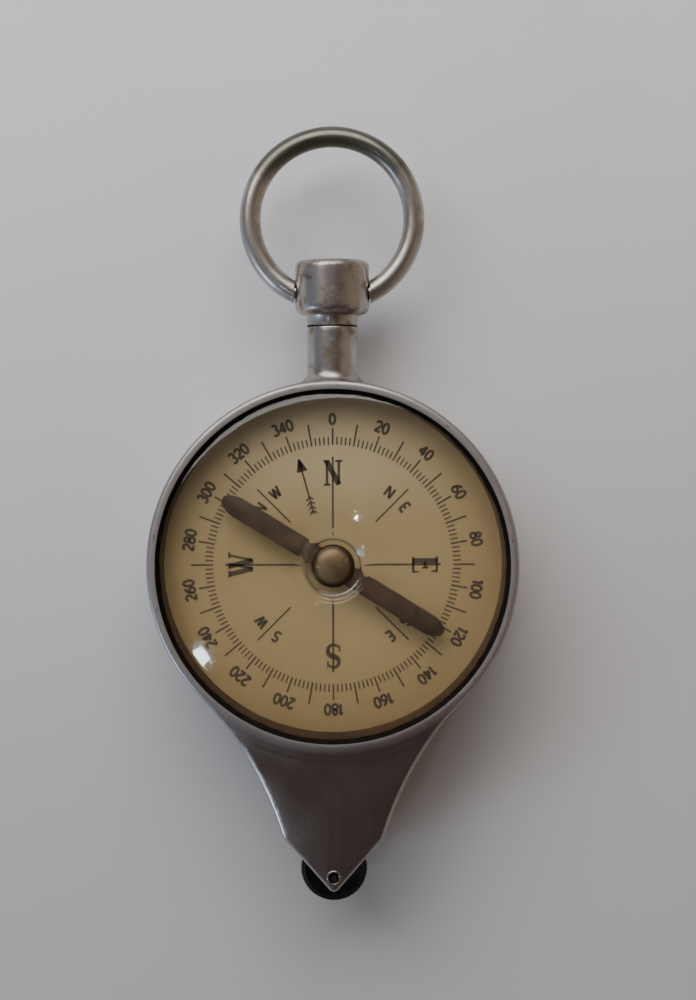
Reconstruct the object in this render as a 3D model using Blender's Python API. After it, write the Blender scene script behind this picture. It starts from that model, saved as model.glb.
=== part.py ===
"""A pocket map measurer with a compass in its front.

A small toothed wheel at the point of the horn rolls along a route on a map. A train of three
gear pairs turns a pointer over the distance dial in the back. The front holds a magnetic
compass under a domed crystal, and a ring on a swivelling cap hangs the instrument.

Frame of the drawing: the case is centred on the Z axis, the horn points along -Y, the ring
along +Y and the compass faces +Z. The rear bezel rests on Z = 0. An empty then moves the whole
instrument so that the world origin lies under the middle of its outline.
"""
import math

import bmesh
import bpy
from mathutils import Matrix, Vector

MM = 0.001
TAU = 2.0 * math.pi

# ---------------------------------------------------------------- fits and general clearances
SEAT_GAP = 0.03 * MM        # between two faces that rest on each other
FIT_GAP = 0.04 * MM         # round a piece that locates another
RUN_GAP = 0.05 * MM         # round a shaft that turns in a hole
END_SHAKE = 0.08 * MM       # along a shaft that turns between two plates
WHEEL_GAP = 0.37 * MM       # round the tracing wheel, where it runs between the cheeks

# ---------------------------------------------------------------- case
CASE_RADIUS = 16.4 * MM     # outer face of the round wall
SHEET = 0.55 * MM           # pressed brass sheet of both shells
RIM_STAND = 0.1 * MM        # the bead and the bezel stand this far out of the wall
CHEEK_BEND = 0.4 * MM       # outer bend radius between a cheek and its wall
SEAM_GAP = 0.03 * MM

REAR_LIP = 0.4 * MM         # thickness of the rear bezel's lip
REAR_LIP_WIDTH = 1.8 * MM
REAR_BEZEL_ROUND = 0.3 * MM
REAR_CRYSTAL_THICK = 0.5 * MM
REAR_CRYSTAL_EDGE = 0.1 * MM    # chamfer round its rear edge
NECK_HEIGHT = 0.74 * MM     # the neck of the rear shell that the bezel presses over
NECK_WALL = 0.4 * MM
FLANGE_WIDTH = 1.2 * MM     # from the outer wall in to the neck's bore

REAR_PLATE_THICK = 0.6 * MM
GEAR_SPACE = 3.0 * MM       # between the rear plate and the main plate
MAIN_PLATE_THICK = 0.7 * MM
DIAL_PLATE_THICK = 0.6 * MM
DIAL_CARD_THICK = 0.3 * MM
REHAUT_HEIGHT = 2.4 * MM
REHAUT_SHOW = 0.28 * MM     # the top of the conical ring shows this far inside the bead
REHAUT_SLOPE = 0.35 * MM    # how much narrower its bore is at the dial
RIM_HEIGHT = 1.2 * MM       # from the crystal's seat up to the top of the bead
RIM_WIDTH = 0.87 * MM
RIM_ROUND = 0.4 * MM
RIM_CHAMFER = 0.12 * MM     # height of the chamfer round the bore of the bead
CHEEK_DROP = 0.3 * MM       # the front cheek lies this far under the top of the bead

# ---------------------------------------------------------------- horn
HORN_REACH = 11.3 * MM      # from the round wall to the wheel's axis
POINT_SLANT = 1.6           # how far the slanted walls of the point move out for thicker sheet
HORN_NOSE = 0.67 * MM + POINT_SLANT * SHEET     # from the wheel's axis to the point of the horn
HORN_CORNER_RISE = 3.6 * MM     # from the wheel's axis up to the corners of the horn
HORN_CORNER_WIDTH = 7.24 * MM + 2.0 * POINT_SLANT * SHEET
HORN_CORNER_RADIUS = 1.6 * MM
HORN_ROOT_SHARE = 0.9       # width of the horn's root inside the case over its width at the wall
HORN_NOSE_RADIUS = CHEEK_BEND + 0.15 * MM
FLANK_RADIUS = 32.5 * MM    # hollow curve from the round case to the corner

# ---------------------------------------------------------------- front
CRYSTAL_THICK = 0.7 * MM
CRYSTAL_DOME = 1.25 * MM    # height of the dome over its own edge
DIMPLE_RADIUS = 3.2 * MM
DIMPLE_WALL = 0.6 * MM
NEEDLE_HEIGHT = 1.4 * MM    # from the dial up to the needle
NEEDLE_THICK = 0.25 * MM
NEEDLE_LENGTH = 23.0 * MM
NEEDLE_WIDTH = 1.82 * MM
NEEDLE_TAPER = 1.3 * MM
NEEDLE_END_SHARE = 0.35     # width of the needle's ends, as a share of its width
NEEDLE_BEARING = math.radians(301.6)
CAP_RADIUS = 1.93 * MM      # domed brass cap on the needle
CAP_HEIGHT = 0.88 * MM
CAP_SKIRT = 0.3 * MM        # height of the straight edge under the dome
CAP_HOLLOW_SHARE = 0.35     # the pivot reaches this share of the cap's height
CAP_SPIGOT_RADIUS = 0.62 * MM
CAP_SPIGOT_DEPTH = 0.45 * MM
CAP_TO_DIMPLE = 0.3 * MM
PIVOT_BASE_RADIUS = 1.0 * MM
PIVOT_BASE_STAND = 0.15 * MM    # the base stands this far out of the dial
PIVOT_BASE_SLOPE = 0.1 * MM
PIVOT_SPIGOT_RADIUS = 0.6 * MM
PIVOT_PIN_RADIUS = 0.33 * MM

# ---------------------------------------------------------------- tracing wheel and gear train
TRACED_PER_TURN = 1000.0 * MM   # route length for one turn of the pointer
PRESSURE_ANGLE = math.radians(28.0)
ADDENDUM = 0.85             # in modules
DEDENDUM = 1.15
BACKLASH = 0.07 * MM
WHEEL_MODULE = 0.25 * MM
WHEEL_PINION_TEETH = 12
FIRST_GEAR_TEETH = 28
FIRST_PINION_TEETH = 12
SECOND_GEAR_TEETH = 30
SECOND_PINION_TEETH = 8
CENTRE_GEAR_TEETH = 72
TRAIN_SLACK = 0.03 * MM     # the two long pairs together are this much longer than the span
GEAR_THICK = 0.4 * MM
PINION_THICK = 0.8 * MM
LOW_GEAR_LIFT = 0.35 * MM   # first and centre gears over the rear plate
HIGH_GEAR_LIFT = 1.57 * MM  # second gear over the rear plate
ARBOR_RADIUS = 0.6 * MM
PIVOT_RADIUS = 0.3 * MM
CENTRE_STEM_RADIUS = 0.42 * MM
GEAR_HOLE_RADIUS = 3.0 * MM
GEAR_HOLES = 5
GEAR_HOLE_SHIFT = 1.0 * MM  # the holes lie this far outside the middle between hub and teeth
WHEEL_RIM_THICK = 0.8 * MM
WHEEL_WEB_THICK = 1.2 * MM
WHEEL_WEB_MARGIN = 0.4 * MM
WHEEL_HUB_LENGTH = 1.8 * MM
WHEEL_HUB_RADIUS = 1.0 * MM
WHEEL_TEETH = 36
WHEEL_TOOTH_DEPTH = 0.12 * MM
BUSH_RADIUS = 0.92 * MM
CHEEK_HOLE_RADIUS = 0.5 * MM
WHEEL_PIVOT_RADIUS = 0.25 * MM
WHEEL_ARBOR_RADIUS = 0.5 * MM
WHEEL_PIVOT_RECESS = 0.25 * MM

# ---------------------------------------------------------------- movement
PILLAR_RADIUS = 0.65 * MM
PILLAR_SPIGOT_RADIUS = 0.4 * MM
PILLAR_MARGIN = 0.2 * MM    # from a pillar to the edge of the plates
PILLAR_ANGLES = (90.0, 205.0, 335.0)
PLATE_END_MARGIN = 0.25 * MM    # the plates end this far short of the wheel's cut
SCREW_HEAD_RADIUS = 0.75 * MM
SCREW_SHANK_RADIUS = 0.35 * MM
SCREW_HEAD_THICK = 0.32 * MM
SCREW_SLOT = 0.16 * MM
SCREW_SLOT_DEPTH_SHARE = 0.4    # of the thickness of the head
SCREW_TIP = 0.1 * MM
SCREW_TIP_SHARE = 0.6       # radius of the end of a screw, as a share of its shank
SCREW_TURN = math.radians(35.0)
PLATE_SCREW_LENGTH = 1.5 * MM
POST_RADIUS = 1.0 * MM
POST_SPAN = 9.0 * MM        # from the wheel's axis up to the post in the horn
POST_SCREW_LENGTH = 2.2 * MM
CHEEK_SCREW_RADIUS = 0.95 * MM
CHEEK_SCREW_INSET = 1.7 * MM    # from the outline of the horn to the axis of a cheek screw
CHEEK_SCREW_SPAN = 9.2 * MM     # from the wheel's axis up to the cheek screws
DIAL_FOOT_RADIUS = 0.3 * MM
DIAL_FOOT_CIRCLE = 11.0 * MM
DISTANCE_DIAL_THICK = 0.28 * MM
POINTER_LIFT = 0.3 * MM     # from the distance dial to the pointer
POINTER_THICK = 0.15 * MM
POINTER_REACH = 11.8 * MM
POINTER_TAIL = 4.2 * MM
POINTER_EYE_RADIUS = 1.15 * MM
POINTER_EYE_OPENING = math.radians(14.0)
POINTER_TAIL_SPREAD = 1.8   # width of the tail's end over its width at the eye
COLLET_RADIUS = 0.85 * MM
COLLET_THICK = 0.25 * MM

# ---------------------------------------------------------------- pendant, cap and ring
STEM_RADIUS = 2.27 * MM
STEM_LENGTH = 5.0 * MM      # from the round wall to the seam under the cap
STEM_BORE_RADIUS = 1.2 * MM
STEM_COUNTERBORE_RADIUS = 1.6 * MM
STEM_COUNTERBORE_DEPTH = 2.4 * MM
STEM_SPIGOT_RADIUS = 1.9 * MM
STEM_SPIGOT_OVERLAP = 0.3 * MM  # the spigot runs this far into the flared foot
STEM_FLARE = 0.9 * MM
CAP_NECK_HEIGHT = 0.95 * MM
BOW_CAP_RADIUS = 3.35 * MM
BOW_CAP_HEIGHT = 4.9 * MM
BOW_CAP_ROUND = 0.7 * MM
WASHER_THICK = 0.5 * MM
RIVET_RADIUS = 0.7 * MM
BOW_WIRE_RADIUS = 0.95 * MM
BOW_RING_RADIUS = 7.38 * MM     # to the middle of the wire
BOW_SIDE_GAP = 0.08 * MM    # between the cap and the cut ends of the ring
BOW_PIN_RADIUS = 0.6 * MM
BOW_PIN_DEPTH = 1.4 * MM    # how far a pin reaches into the cap
BOW_PIVOT_RISE = 2.1 * MM   # from the underside of the cap to the pin holes

# ---------------------------------------------------------------- facets
CASE_FACETS = 40
ROUND_FACETS = 20
SMALL_FACETS = 10

# ---------------------------------------------------------------- levels along Z, from the rear
REAR_CRYSTAL_Z = REAR_LIP + SEAT_GAP
NECK_Z = REAR_CRYSTAL_Z + REAR_CRYSTAL_THICK + SEAT_GAP
REAR_CHEEK_Z = NECK_Z + NECK_HEIGHT
REAR_PLATE_Z = REAR_CHEEK_Z + SHEET + SEAT_GAP
DISTANCE_DIAL_Z = REAR_PLATE_Z - SEAT_GAP - DISTANCE_DIAL_THICK
POINTER_Z = DISTANCE_DIAL_Z - POINTER_LIFT - POINTER_THICK
GEAR_FLOOR_Z = REAR_PLATE_Z + REAR_PLATE_THICK
MAIN_PLATE_Z = GEAR_FLOOR_Z + GEAR_SPACE
DIAL_PLATE_Z = MAIN_PLATE_Z + MAIN_PLATE_THICK + SEAT_GAP
DIAL_CARD_Z = DIAL_PLATE_Z + DIAL_PLATE_THICK + SEAT_GAP
REHAUT_Z = DIAL_CARD_Z + DIAL_CARD_THICK + SEAT_GAP
CRYSTAL_SEAT_Z = REHAUT_Z + REHAUT_HEIGHT + SEAT_GAP
RIM_TOP_Z = CRYSTAL_SEAT_Z + RIM_HEIGHT
FRONT_CHEEK_Z = RIM_TOP_Z - CHEEK_DROP
SEAM_Z = (REAR_CHEEK_Z + FRONT_CHEEK_Z) / 2.0
NEEDLE_Z = DIAL_CARD_Z + DIAL_CARD_THICK + NEEDLE_HEIGHT
NEEDLE_CAP_Z = NEEDLE_Z + NEEDLE_THICK + SEAT_GAP

# ---------------------------------------------------------------- radii in the round case
BORE_RADIUS = CASE_RADIUS - SHEET
RIM_RADIUS = CASE_RADIUS + RIM_STAND
RIM_BORE_RADIUS = RIM_RADIUS - RIM_WIDTH
NECK_BORE_RADIUS = CASE_RADIUS - FLANGE_WIDTH
NECK_RADIUS = NECK_BORE_RADIUS + NECK_WALL
FACET_SAG = CASE_RADIUS * (1.0 - math.cos(math.pi / CASE_FACETS))
PLATE_INSET = SHEET + FIT_GAP + FACET_SAG
PILLAR_CIRCLE = CASE_RADIUS - PLATE_INSET - PILLAR_MARGIN - PILLAR_RADIUS

# ---------------------------------------------------------------- places along Y
WHEEL_Y = -(CASE_RADIUS + HORN_REACH)
WHEEL_RATIO = (FIRST_GEAR_TEETH / WHEEL_PINION_TEETH
               * SECOND_GEAR_TEETH / FIRST_PINION_TEETH
               * CENTRE_GEAR_TEETH / SECOND_PINION_TEETH)
WHEEL_RADIUS = TRACED_PER_TURN / WHEEL_RATIO / TAU
FIRST_Y = WHEEL_Y + WHEEL_MODULE * (WHEEL_PINION_TEETH + FIRST_GEAR_TEETH) / 2.0
LONG_PAIRS_TEETH = (FIRST_PINION_TEETH + SECOND_GEAR_TEETH
                    + SECOND_PINION_TEETH + CENTRE_GEAR_TEETH)
TRAIN_MODULE = 2.0 * (-FIRST_Y + TRAIN_SLACK) / LONG_PAIRS_TEETH
STEM_TOP_Y = CASE_RADIUS + STEM_LENGTH
CAP_UNDER_Y = STEM_TOP_Y + END_SHAKE + CAP_NECK_HEIGHT
BOW_PIVOT_Y = CAP_UNDER_Y + BOW_PIVOT_RISE
BOW_END_X = BOW_CAP_RADIUS + BOW_SIDE_GAP
BOW_CENTRE_Y = BOW_PIVOT_Y + math.sqrt(BOW_RING_RADIUS ** 2 - BOW_END_X ** 2)
TOP_Y = BOW_CENTRE_Y + BOW_RING_RADIUS + BOW_WIRE_RADIUS
BOTTOM_Y = WHEEL_Y - WHEEL_RADIUS

# ---------------------------------------------------------------- finishes: colour, metallic, roughness
FINISHES = {
    "worn_nickel": ((0.30, 0.28, 0.26), 1.0, 0.38),
    "brass": ((0.55, 0.38, 0.16), 1.0, 0.35),
    "dark_brass": ((0.10, 0.06, 0.03), 0.8, 0.5),
    "steel": ((0.42, 0.42, 0.43), 1.0, 0.3),
    "blued_steel": ((0.03, 0.04, 0.10), 1.0, 0.3),
    "dark_steel": ((0.02, 0.018, 0.016), 0.8, 0.45),
    "bronzed_steel": ((0.07, 0.045, 0.025), 0.6, 0.5),
    "crystal": ((0.85, 0.80, 0.74), 0.0, 0.08),
    "ivory_card": ((0.42, 0.33, 0.20), 0.0, 0.6),
    "silvered_dial": ((0.60, 0.57, 0.50), 0.3, 0.5),
}


# ---------------------------------------------------------------- drawing helpers
def circle(radius, facets, centre=(0.0, 0.0)):
    """Points of a circle, the first one at +X."""
    steps = [TAU * index / facets for index in range(facets)]
    return [(centre[0] + radius * math.cos(a), centre[1] + radius * math.sin(a)) for a in steps]


def hole_radius(shaft_radius, gap, facets):
    """Radius of a faceted hole whose flats clear a round shaft by the gap."""
    return (shaft_radius + gap) / math.cos(math.pi / facets)


def arc(centre, radius, start, end, steps):
    """Points of an arc from one angle to another, both ends included."""
    angles = [start + (end - start) * index / steps for index in range(steps + 1)]
    return [(centre[0] + radius * math.cos(a), centre[1] + radius * math.sin(a)) for a in angles]


def meeting_point(centre_a, radius_a, centre_b, radius_b, side):
    """Where two circles meet: 1 is the point left of the line from a to b, -1 the one right of it."""
    a = Vector(centre_a)
    b = Vector(centre_b)
    span = (b - a).length
    along = (span ** 2 + radius_a ** 2 - radius_b ** 2) / (2.0 * span)
    across = math.sqrt(radius_a ** 2 - along ** 2)
    direction = (b - a) / span
    point = a + direction * along + Vector((-direction.y, direction.x)) * across * side
    return (point.x, point.y)


def rounded(before, corner, after, radius, steps):
    """Points that replace a sharp corner by an arc."""
    corner = Vector(corner)
    towards_before = (Vector(before) - corner).normalized()
    towards_after = (Vector(after) - corner).normalized()
    half = towards_before.angle(towards_after) / 2.0
    centre = corner + (towards_before + towards_after).normalized() * radius / math.sin(half)
    first = corner + towards_before * radius / math.tan(half) - centre
    last = corner + towards_after * radius / math.tan(half) - centre
    turn = first.angle_signed(last)
    points = []
    for index in range(steps + 1):
        spoke = first.copy()
        spoke.rotate(Matrix.Rotation(-turn * index / steps, 2))
        points.append(tuple(centre + spoke))
    return points


def inset(outline, distance):
    """The outline moved inwards (its points run counter-clockwise)."""
    count = len(outline)
    moved = []
    for index in range(count):
        here = Vector(outline[index])
        into = (here - Vector(outline[index - 1])).normalized()
        out_of = (Vector(outline[(index + 1) % count]) - here).normalized()
        normal_in = Vector((-into.y, into.x))
        normal_out = Vector((-out_of.y, out_of.x))
        middle = (normal_in + normal_out).normalized()
        moved.append(tuple(here + middle * distance / middle.dot(normal_in)))
    return moved


def gear_outline(teeth, module, tooth_angle, flank_steps):
    """An involute gear; one tooth points along tooth_angle."""
    pitch = module * teeth / 2.0
    base = pitch * math.cos(PRESSURE_ANGLE)
    tip = pitch + ADDENDUM * module
    root = pitch - DEDENDUM * module
    half_pitch = math.pi / (2.0 * teeth) - BACKLASH / 4.0 / pitch
    involute_at_pitch = math.tan(PRESSURE_ANGLE) - PRESSURE_ANGLE

    def half_tooth(radius):
        pressure = math.acos(min(1.0, base / radius))
        return half_pitch + involute_at_pitch - (math.tan(pressure) - pressure)

    start = max(root, base)
    radii = [start + (tip - start) * index / flank_steps for index in range(flank_steps + 1)]
    if root < base:
        radii.insert(0, root)
    points = []
    for tooth in range(teeth):
        middle = tooth_angle + TAU * tooth / teeth
        flank = [(radius, half_tooth(max(radius, base))) for radius in radii]
        for radius, half in flank:
            points.append((radius * math.cos(middle - half), radius * math.sin(middle - half)))
        for radius, half in reversed(flank):
            points.append((radius * math.cos(middle + half), radius * math.sin(middle + half)))
    return points


# ---------------------------------------------------------------- mesh helpers
def new_mesh_object(name, bm, finish, parent, place=(0.0, 0.0, 0.0), turn=(0.0, 0.0, 0.0)):
    """Make the object of a finished mesh, with smooth round faces and sharp edges."""
    bmesh.ops.recalc_face_normals(bm, faces=bm.faces)
    mesh = bpy.data.meshes.new(name)
    bm.to_mesh(mesh)
    bm.free()
    mesh.shade_smooth()
    mesh.set_sharp_from_angle(angle=math.radians(32.0))
    made = bpy.data.objects.new(name, mesh)
    bpy.context.collection.objects.link(made)
    made.parent = parent
    made.location = place
    made.rotation_euler = turn
    if finish:
        mesh.materials.append(make_material(name, finish))
    return made


def make_material(name, finish):
    """A Principled material of the sub-part's own."""
    colour, metallic, roughness = FINISHES[finish]
    material = bpy.data.materials.new(name)
    material.use_nodes = True
    shader = material.node_tree.nodes["Principled BSDF"]
    shader.inputs["Base Color"].default_value = (*colour, 1.0)
    shader.inputs["Metallic"].default_value = metallic
    shader.inputs["Roughness"].default_value = roughness
    if finish == "crystal":
        shader.inputs["Transmission Weight"].default_value = 1.0
    return material


def add_loop(bm, outline, z):
    """Vertices and edges of one closed outline at a height."""
    verts = [bm.verts.new((x, y, z)) for x, y in outline]
    edges = [bm.edges.new((verts[index - 1], verts[index])) for index in range(len(verts))]
    return verts, edges


def add_wall(bm, lower, upper):
    """Quads between two loops with the same number of points."""
    for index in range(len(lower)):
        bm.faces.new((lower[index - 1], lower[index], upper[index], upper[index - 1]))


def stack(sections, bores=()):
    """Prisms on top of each other as one solid; each section is (outline, z0, z1).

    Neighbouring outlines lie one inside the other. The bores run through all the sections.
    """
    bm = bmesh.new()
    bottom_z = sections[0][1]
    top_z = sections[-1][2]
    below = []
    for bore in bores:
        bottom_verts, bottom_edges = add_loop(bm, bore, bottom_z)
        top_verts, top_edges = add_loop(bm, bore, top_z)
        add_wall(bm, bottom_verts, top_verts)
        below.append((bottom_edges, top_edges))
    step_edges = [edge for bottom_edges, _ in below for edge in bottom_edges]
    for outline, z0, z1 in sections:
        lower_verts, lower_edges = add_loop(bm, outline, z0)
        upper_verts, upper_edges = add_loop(bm, outline, z1)
        add_wall(bm, lower_verts, upper_verts)
        bmesh.ops.triangle_fill(bm, use_beauty=True, edges=step_edges + lower_edges)
        step_edges = upper_edges
    top_bores = [edge for _, top_edges in below for edge in top_edges]
    bmesh.ops.triangle_fill(bm, use_beauty=True, edges=step_edges + top_bores)
    return bm


def lathe(profile, facets):
    """Turn a (radius, z) profile round Z. A profile that starts and ends on the axis is open."""
    bm = bmesh.new()
    verts = [bm.verts.new((radius, 0.0, z)) for radius, z in profile]
    edges = [bm.edges.new((verts[index - 1], verts[index])) for index in range(1, len(verts))]
    if profile[0][0] > 0.0:
        edges.append(bm.edges.new((verts[-1], verts[0])))
    bmesh.ops.spin(bm, geom=verts + edges, cent=(0.0, 0.0, 0.0), axis=(0.0, 0.0, 1.0),
                   angle=TAU, steps=facets, use_merge=True)
    bmesh.ops.remove_doubles(bm, verts=bm.verts, dist=0.0005 * MM)
    return bm


def bevelled_prism(outline, z0, z1, radius, steps, round_low):
    """A prism whose lower or upper edge is rounded."""
    bm = bmesh.new()
    loops = []
    for index in range(steps + 1):
        angle = math.pi / 2.0 * index / steps
        shift = radius * (1.0 - math.sin(angle))
        drop = radius * (1.0 - math.cos(angle))
        z = z0 + drop if round_low else z1 - drop
        loops.append(add_loop(bm, inset(outline, shift), z)[0])
    straight_z = z1 if round_low else z0
    loops.append(add_loop(bm, outline, straight_z)[0])
    for lower, upper in zip(loops, loops[1:]):
        add_wall(bm, lower, upper)
    bm.faces.new(loops[0])
    bm.faces.new(loops[-1])
    return bm


def box(low, high):
    """A box between two corners."""
    bm = bmesh.new()
    bmesh.ops.create_cube(bm, size=1.0)
    low = Vector(low)
    high = Vector(high)
    for vert in bm.verts:
        vert.co = (low + high) / 2.0 + vert.co * (high - low)
    return bm


def combine(target, other_bm, operation, place=(0.0, 0.0, 0.0), turn=(0.0, 0.0, 0.0)):
    """Join a hidden solid to the target or cut the target with it."""
    name = f"{target.name}_{operation.lower()}_{len(target.modifiers) + 1}"
    other = new_mesh_object(name, other_bm, None, target.parent, place, turn)
    other.hide_render = True
    other.display_type = "WIRE"
    boolean = target.modifiers.new(name, "BOOLEAN")
    boolean.operation = operation
    boolean.solver = "EXACT"
    boolean.object = other
    return other


# ---------------------------------------------------------------- outline of the case
def horn_corners():
    """The left and right corner of the horn."""
    corner_y = WHEEL_Y + HORN_CORNER_RISE
    return (-HORN_CORNER_WIDTH / 2.0, corner_y), (HORN_CORNER_WIDTH / 2.0, corner_y)


def flank_centre():
    """Centre of the hollow curve on the right side: it touches the round wall."""
    right_corner = horn_corners()[1]
    return meeting_point((0.0, 0.0), CASE_RADIUS + FLANK_RADIUS, right_corner, FLANK_RADIUS, 1)


def mirrored(points):
    """The same points on the other side of the Y axis, in counter-clockwise order."""
    return [(-x, y) for x, y in reversed(points)]


def right_flank():
    """From the nose's end of the right flank up to where it touches the round wall."""
    centre = flank_centre()
    corner = horn_corners()[1]
    nose = (0.0, WHEEL_Y - HORN_NOSE)
    start = math.atan2(corner[1] - centre[1], corner[0] - centre[0]) % TAU
    end = math.atan2(-centre[1], -centre[0]) % TAU
    curve = arc(centre, FLANK_RADIUS, start, end, 6)
    turned = rounded(nose, corner, curve[1], HORN_CORNER_RADIUS, 3)
    return turned + curve[1:]


def closed_outline(across):
    """Nose, right flank, the points that lead across to the left side, and left flank."""
    flank = right_flank()
    other_flank = mirrored(flank)
    nose = rounded(other_flank[-1], (0.0, WHEEL_Y - HORN_NOSE), flank[0], HORN_NOSE_RADIUS, 4)
    return nose + flank + across + other_flank


def horn_outline(top_y):
    """The horn up to a level inside the round case."""
    inner_x = right_flank()[-1][0] * HORN_ROOT_SHARE
    return closed_outline([(inner_x, top_y), (-inner_x, top_y)])


def pear_outline():
    """The whole outline: horn and round wall."""
    touch = right_flank()[-1]
    start = math.atan2(touch[1], touch[0])
    steps = round(CASE_FACETS * (math.pi - 2.0 * start) / TAU)
    round_wall = arc((0.0, 0.0), CASE_RADIUS, start, math.pi - start, steps)
    return closed_outline(round_wall[1:-1])


def cut_below(outline, level):
    """The outline with a straight end at a level, for a plate that stops short of the wheel."""
    kept = []
    count = len(outline)
    for index in range(count):
        x0, y0 = outline[index - 1]
        x1, y1 = outline[index]
        if (y0 < level) != (y1 < level):
            share = (level - y0) / (y1 - y0)
            kept.append((x0 + (x1 - x0) * share, level))
        if y1 >= level:
            kept.append((x1, y1))
    return kept


# ---------------------------------------------------------------- places of the gear train
def second_place():
    """Axis of the second arbor, between the first arbor and the centre."""
    to_first = TRAIN_MODULE * (FIRST_PINION_TEETH + SECOND_GEAR_TEETH) / 2.0
    to_centre = TRAIN_MODULE * (SECOND_PINION_TEETH + CENTRE_GEAR_TEETH) / 2.0
    return meeting_point((0.0, FIRST_Y), to_first, (0.0, 0.0), to_centre, -1)


def direction(start, end):
    """Angle of the line from one axis to another."""
    return math.atan2(end[1] - start[1], end[0] - start[0])


def gap_towards(angle, teeth):
    """Tooth angle of a pinion whose gap points along an angle."""
    return angle + math.pi / teeth


# ---------------------------------------------------------------- shells
def cut_case_openings(shell, inner_z, seam_z):
    """Openings that both shells share: horn pocket, wheel, wheel pivot and pendant."""
    pocket = cut_below(inset(horn_outline(-CASE_RADIUS / 3.0), SHEET), WHEEL_Y + HORN_NOSE)
    low = min(inner_z, seam_z)
    high = max(inner_z, seam_z)
    reach = SHEET
    if inner_z > seam_z:
        combine(shell, stack([(pocket, low - reach, high)]), "DIFFERENCE")
    else:
        combine(shell, stack([(pocket, low, high + reach)]), "DIFFERENCE")
    wheel_cut = circle(WHEEL_RADIUS + WHEEL_GAP, ROUND_FACETS, (0.0, WHEEL_Y))
    combine(shell, stack([(wheel_cut, low - reach * (inner_z > seam_z),
                           high + reach * (inner_z < seam_z))]), "DIFFERENCE")
    pivot_hole = circle(CHEEK_HOLE_RADIUS, SMALL_FACETS, (0.0, WHEEL_Y))
    combine(shell, stack([(pivot_hole, low - 2.0 * SHEET, high + 2.0 * SHEET)]), "DIFFERENCE")
    stem_hole = circle(hole_radius(STEM_SPIGOT_RADIUS, FIT_GAP, ROUND_FACETS), ROUND_FACETS)
    combine(shell, stack([(stem_hole, -2.0 * SHEET, 2.0 * SHEET)]), "DIFFERENCE",
            (0.0, CASE_RADIUS, SEAM_Z), (-math.pi / 2.0, 0.0, 0.0))


def make_front_shell(parent):
    """Round wall with its bead, front cheek and the front half of the horn's walls."""
    seam = SEAM_Z + SEAM_GAP / 2.0
    seat = CRYSTAL_SEAT_Z
    bead = arc((RIM_RADIUS - RIM_ROUND, RIM_TOP_Z - RIM_ROUND), RIM_ROUND, 0.0, math.pi / 2.0, 2)
    outside = [(0.0, seam), (CASE_RADIUS, seam), (CASE_RADIUS, seat),
               (RIM_RADIUS, seat + 2.0 * RIM_STAND)] + bead + [(0.0, RIM_TOP_Z)]
    shell = new_mesh_object("front_shell", lathe(outside, CASE_FACETS), "worn_nickel", parent)
    horn = bevelled_prism(horn_outline(-CASE_RADIUS / 2.0), seam, FRONT_CHEEK_Z,
                          CHEEK_BEND, 2, False)
    combine(shell, horn, "UNION")
    over = RIM_TOP_Z + RIM_CHAMFER
    inside = [(0.0, seam - SHEET), (BORE_RADIUS, seam - SHEET), (BORE_RADIUS, seat),
              (RIM_BORE_RADIUS, seat), (RIM_BORE_RADIUS, RIM_TOP_Z - RIM_CHAMFER),
              (RIM_BORE_RADIUS + 2.0 * RIM_CHAMFER, over), (0.0, over)]
    combine(shell, lathe(inside, CASE_FACETS), "DIFFERENCE")
    cut_case_openings(shell, FRONT_CHEEK_Z - SHEET, seam)


def make_rear_shell(parent):
    """Round wall with the flange and neck for the bezel, and the rear half of the horn."""
    seam = SEAM_Z - SEAM_GAP / 2.0
    bend = arc((CASE_RADIUS - CHEEK_BEND, REAR_CHEEK_Z + CHEEK_BEND), CHEEK_BEND,
               -math.pi / 2.0, 0.0, 2)
    outside = [(0.0, NECK_Z), (NECK_RADIUS, NECK_Z), (NECK_RADIUS, REAR_CHEEK_Z)] + bend
    outside += [(CASE_RADIUS, seam), (0.0, seam)]
    shell = new_mesh_object("rear_shell", lathe(outside, CASE_FACETS), "worn_nickel", parent)
    horn = bevelled_prism(horn_outline(-CASE_RADIUS / 2.0), REAR_CHEEK_Z, seam,
                          CHEEK_BEND, 2, True)
    combine(shell, horn, "UNION")
    inside = [(0.0, NECK_Z - SHEET), (NECK_BORE_RADIUS, NECK_Z - SHEET),
              (NECK_BORE_RADIUS, REAR_CHEEK_Z + SHEET), (BORE_RADIUS, REAR_CHEEK_Z + SHEET),
              (BORE_RADIUS, seam + SHEET), (0.0, seam + SHEET)]
    combine(shell, lathe(inside, CASE_FACETS), "DIFFERENCE")
    cut_case_openings(shell, REAR_CHEEK_Z + SHEET, seam)
    for place in cheek_screw_places():
        shank = circle(hole_radius(SCREW_SHANK_RADIUS, FIT_GAP, SMALL_FACETS), SMALL_FACETS, place)
        combine(shell, stack([(shank, REAR_CHEEK_Z - SHEET, REAR_CHEEK_Z + 2.0 * SHEET)]),
                "DIFFERENCE")


def make_rear_bezel(parent):
    """Ring that presses over the neck and holds the rear crystal."""
    top = REAR_CHEEK_Z - SEAT_GAP
    bore = NECK_RADIUS + FIT_GAP
    lip_bore = RIM_RADIUS - REAR_LIP_WIDTH
    corner = arc((RIM_RADIUS - REAR_BEZEL_ROUND, REAR_BEZEL_ROUND), REAR_BEZEL_ROUND,
                 0.0, -math.pi / 2.0, 2)
    profile = [(bore, top), (RIM_RADIUS, top)]
    profile += corner + [(lip_bore, 0.0), (lip_bore, REAR_LIP), (bore, REAR_LIP)]
    new_mesh_object("rear_bezel", lathe(profile, CASE_FACETS), "worn_nickel", parent)


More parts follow.
